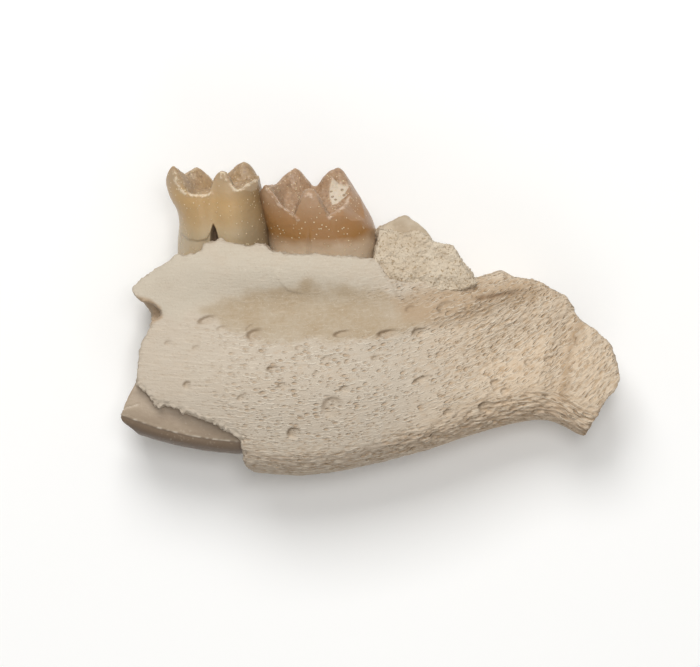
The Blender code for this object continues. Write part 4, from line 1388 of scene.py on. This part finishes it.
# %% Finish of the enamel
def enamel(name, bands, crown_colour, crest_colour, shaded_back, speck_shift):
    """Enamel whose colour changes with the height on the tooth, in mm."""
    made = Finish(name, 0.34)
    made.shader.inputs["Coat Roughness"].default_value = 0.2
    made.shader.inputs["Subsurface Weight"].default_value = 0.10
    made.shader.inputs["Subsurface Scale"].default_value = 0.0005
    made.shader.inputs["Subsurface Radius"].default_value = (1.0, 0.5, 0.25)
    cloudy = made.mottle(1.5, 4, shift=speck_shift)
    fine = made.mottle(0.16, 4, 0.6)
    height = made.number("height") + (cloudy - 0.5) * 0.7
    low, high = bands[0][0], bands[-1][0]
    stops = [((h - low) / (high - low), c) for h, c in bands]
    share = made.add("ShaderNodeMapRange", None, {"Value": height, "From Min": low, "From Max": high})
    tone = made.add("ShaderNodeValToRGB", {"stops": stops}, [share], "Color")

    crown, patch = made.number("crown_top"), made.number("patch")
    pale_crest = made.number("crest") * made.between(cloudy + fine * 0.6, 0.62, 1.0)
    worn = made.number("worn") * made.between(made.mottle(0.2, 4, 0.7), 0.42, 0.58)
    pits = made.between(made.dots(0.26), 0.32, 0.2)
    dusty = made.between(made.mottle(0.7, 2), 0.38, 0.52).most(crown * 0.8)
    stuck = made.between(made.dots(0.17), 0.22, 0.14) * dusty
    tone = made.painted(tone, (
        # Painted shade towards the back of the tooth, where it curves away and meets the next one.
        (made.between(made.number("along"), *shaded_back) * 0.62, (0.20, 0.135, 0.07)),
        (crown * (0.4 + fine * 0.6), crown_colour),
        (crown * made.between(fine, 0.50, 0.36) * 0.5, (0.20, 0.12, 0.065)),
        (crown * made.between(fine, 0.56, 0.7) * 0.4, (0.66, 0.53, 0.40)),
        (pale_crest * 0.6, crest_colour),
        # Pale lines that are partly wear and partly painted glints.
        (worn * 0.85, crest_colour),
        (made.number("bare_root") * 0.8, (0.50, 0.405, 0.275)),
        # Painted shade in the notch between the roots.
        (made.number("notch") * 0.85, (0.19, 0.115, 0.075)),
        (patch, made.blend(pits * 0.8, (0.61, 0.515, 0.40), (0.24, 0.16, 0.09))),
        (stuck * 0.75, (0.86, 0.70, 0.46)),
    ))
    made.colour(tone)
    dry = patch.most(stuck).most(worn * 0.6)
    made.roughness((0.32 + fine * 0.2 + dry * 0.35 + crown * 0.12).clamped())
    made.links.new(((1 - dry) * (0.24 - crown * 0.06)).socket, made.shader.inputs["Coat Weight"])
    made.bump(fine * (0.5 + crown * 1.2) + stuck + made.mottle(0.5, 3) * 0.8, 0.024)
    return made


first_finish = enamel(
    "first_tooth_enamel",
    (
        (0.3, (0.47, 0.37, 0.24)), (1.2, (0.47, 0.365, 0.225)), (1.9, (0.48, 0.325, 0.16)),
        (2.8, (0.49, 0.315, 0.14)), (3.6, (0.42, 0.30, 0.18)),
    ),
    (0.36, 0.24, 0.13), (0.72, 0.60, 0.44), (2.0, 3.2), 0.0,
)
second_finish = enamel(
    "second_tooth_enamel",
    (
        (0.3, (0.56, 0.45, 0.33)), (0.8, (0.52, 0.385, 0.26)), (1.3, (0.31, 0.148, 0.04)),
        (1.9, (0.33, 0.165, 0.058)), (2.9, (0.38, 0.24, 0.14)),
    ),
    (0.36, 0.225, 0.13), (0.58, 0.44, 0.33), (4.2, 5.0), 0.004,
)
print("two enamels made")

# %% [markdown]
# ## Finish of the front tooth
# Dentine, which makes up most of the front tooth, is a dull grey-brown with streaks along the
# tooth. Its enamel on the outer side is darker, painted shade darkens it most at the lower edge,
# which turns away from the light, and a pale broken line runs where the two meet.

# %% Finish of the front tooth
dull = Finish("incisor_dentine", 0.4)
streaky = dull.mottle(1.2, 5, 0.6, (0.35, 1, 1))
fine = dull.mottle(0.16, 4)
tone = dull.blend(dull.between(streaky, 0.3, 0.75), (0.30, 0.225, 0.157), (0.44, 0.35, 0.255))
dull.colour(dull.painted(tone, (
    (dull.number("enamel_side") * 0.85, (0.185, 0.125, 0.077)),
    # Painted shade along the lower edge, which turns away from the light.
    (dull.number("outermost") * 0.85, (0.11, 0.07, 0.042)),
    (dull.between(fine, 0.58, 0.78) * 0.3, (0.62, 0.54, 0.43)),
    (dull.number("ridge") * 0.7, (0.78, 0.70, 0.57)),
)))
dull.roughness(0.34 + fine * 0.25)
dull.bump(fine * 0.6 + streaky * 0.6, 0.025)
print("front tooth finish:", len(dull.nodes), "nodes")

# %% [markdown]
# ## Finishes of the stump, the sandstone and the floor
# The stump is smooth and tan. The sandstone is a mass of pale grains with a few brown ones, so
# its colour changes from grain to grain and its bumps are strong. The floor is nearly plain.

# %% Finishes of the stump, the sandstone and the floor
tan = Finish("stump_dentine", 0.5)
cloudy, fine = tan.mottle(0.9, 4), tan.mottle(0.12, 3)
tone = tan.blend(tan.between(cloudy, 0.35, 0.7), (0.43, 0.34, 0.235), (0.52, 0.43, 0.315))
tan.colour(tan.blend(tan.between(fine, 0.55, 0.8) * 0.4, tone, (0.62, 0.53, 0.41)))
tan.roughness(0.45 + fine * 0.3)
tan.bump(fine + cloudy * 0.4, 0.02)

sand = Finish("sandstone", 0.9)
cloudy, fine = sand.mottle(0.9, 4), sand.mottle(0.1, 4, 0.7)
tone = sand.blend(sand.between(cloudy, 0.3, 0.7), (0.58, 0.47, 0.34), (0.69, 0.59, 0.455))
tone = sand.blend(sand.between(fine, 0.5, 0.75) * 0.5, tone, (0.82, 0.74, 0.60))
brown_grains = sand.between(sand.mottle(0.10, 2, 0.6, shift=0.003), 0.56, 0.65)
sand.colour(sand.blend(brown_grains * 0.8, tone, (0.36, 0.25, 0.14)))
sand.roughness(0.8 + fine * 0.15)
sand.bump(fine + sand.dots(0.12) * -0.8, 0.06)

pale_floor = Finish("pale_floor", 0.9)
pale_floor.colour(pale_floor.blend(pale_floor.mottle(30, 2), (0.93, 0.93, 0.92), (0.95, 0.95, 0.94)))
floor.data.materials.append(pale_floor.material)
print("finishes made")

# %% [markdown]
# ## Real size, and what each piece stands for
# Each piece is shrunk from millimetre units to metres in its mesh, so its object stays at the
# origin. Then it gets its finish and takes the place of its solid.

# %% Place the pieces
DRESSED = (
    (bone, "dentary", bone_finish, "fossil_bone"),
    (front_tooth, "incisor", dull, "incisor_dentine"),
    (first_tooth, "cheek_tooth_1", first_finish, "fossil_enamel"),
    (second_tooth, "cheek_tooth_2", second_finish, "fossil_enamel"),
    (stump, "cheek_tooth_3_stump", tan, "fossil_enamel"),
    (stone, "matrix_fill", sand, "sandstone"),
)
for piece, node, look, slot in DRESSED:
    move_points(piece, points_of(piece) / 1000)
    piece.data.materials.clear()
    piece.data.materials.append(look.material)
    piece.data.shade_smooth()
    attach(piece, "root")
    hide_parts(node)
    print(piece.name, "stands for", node)
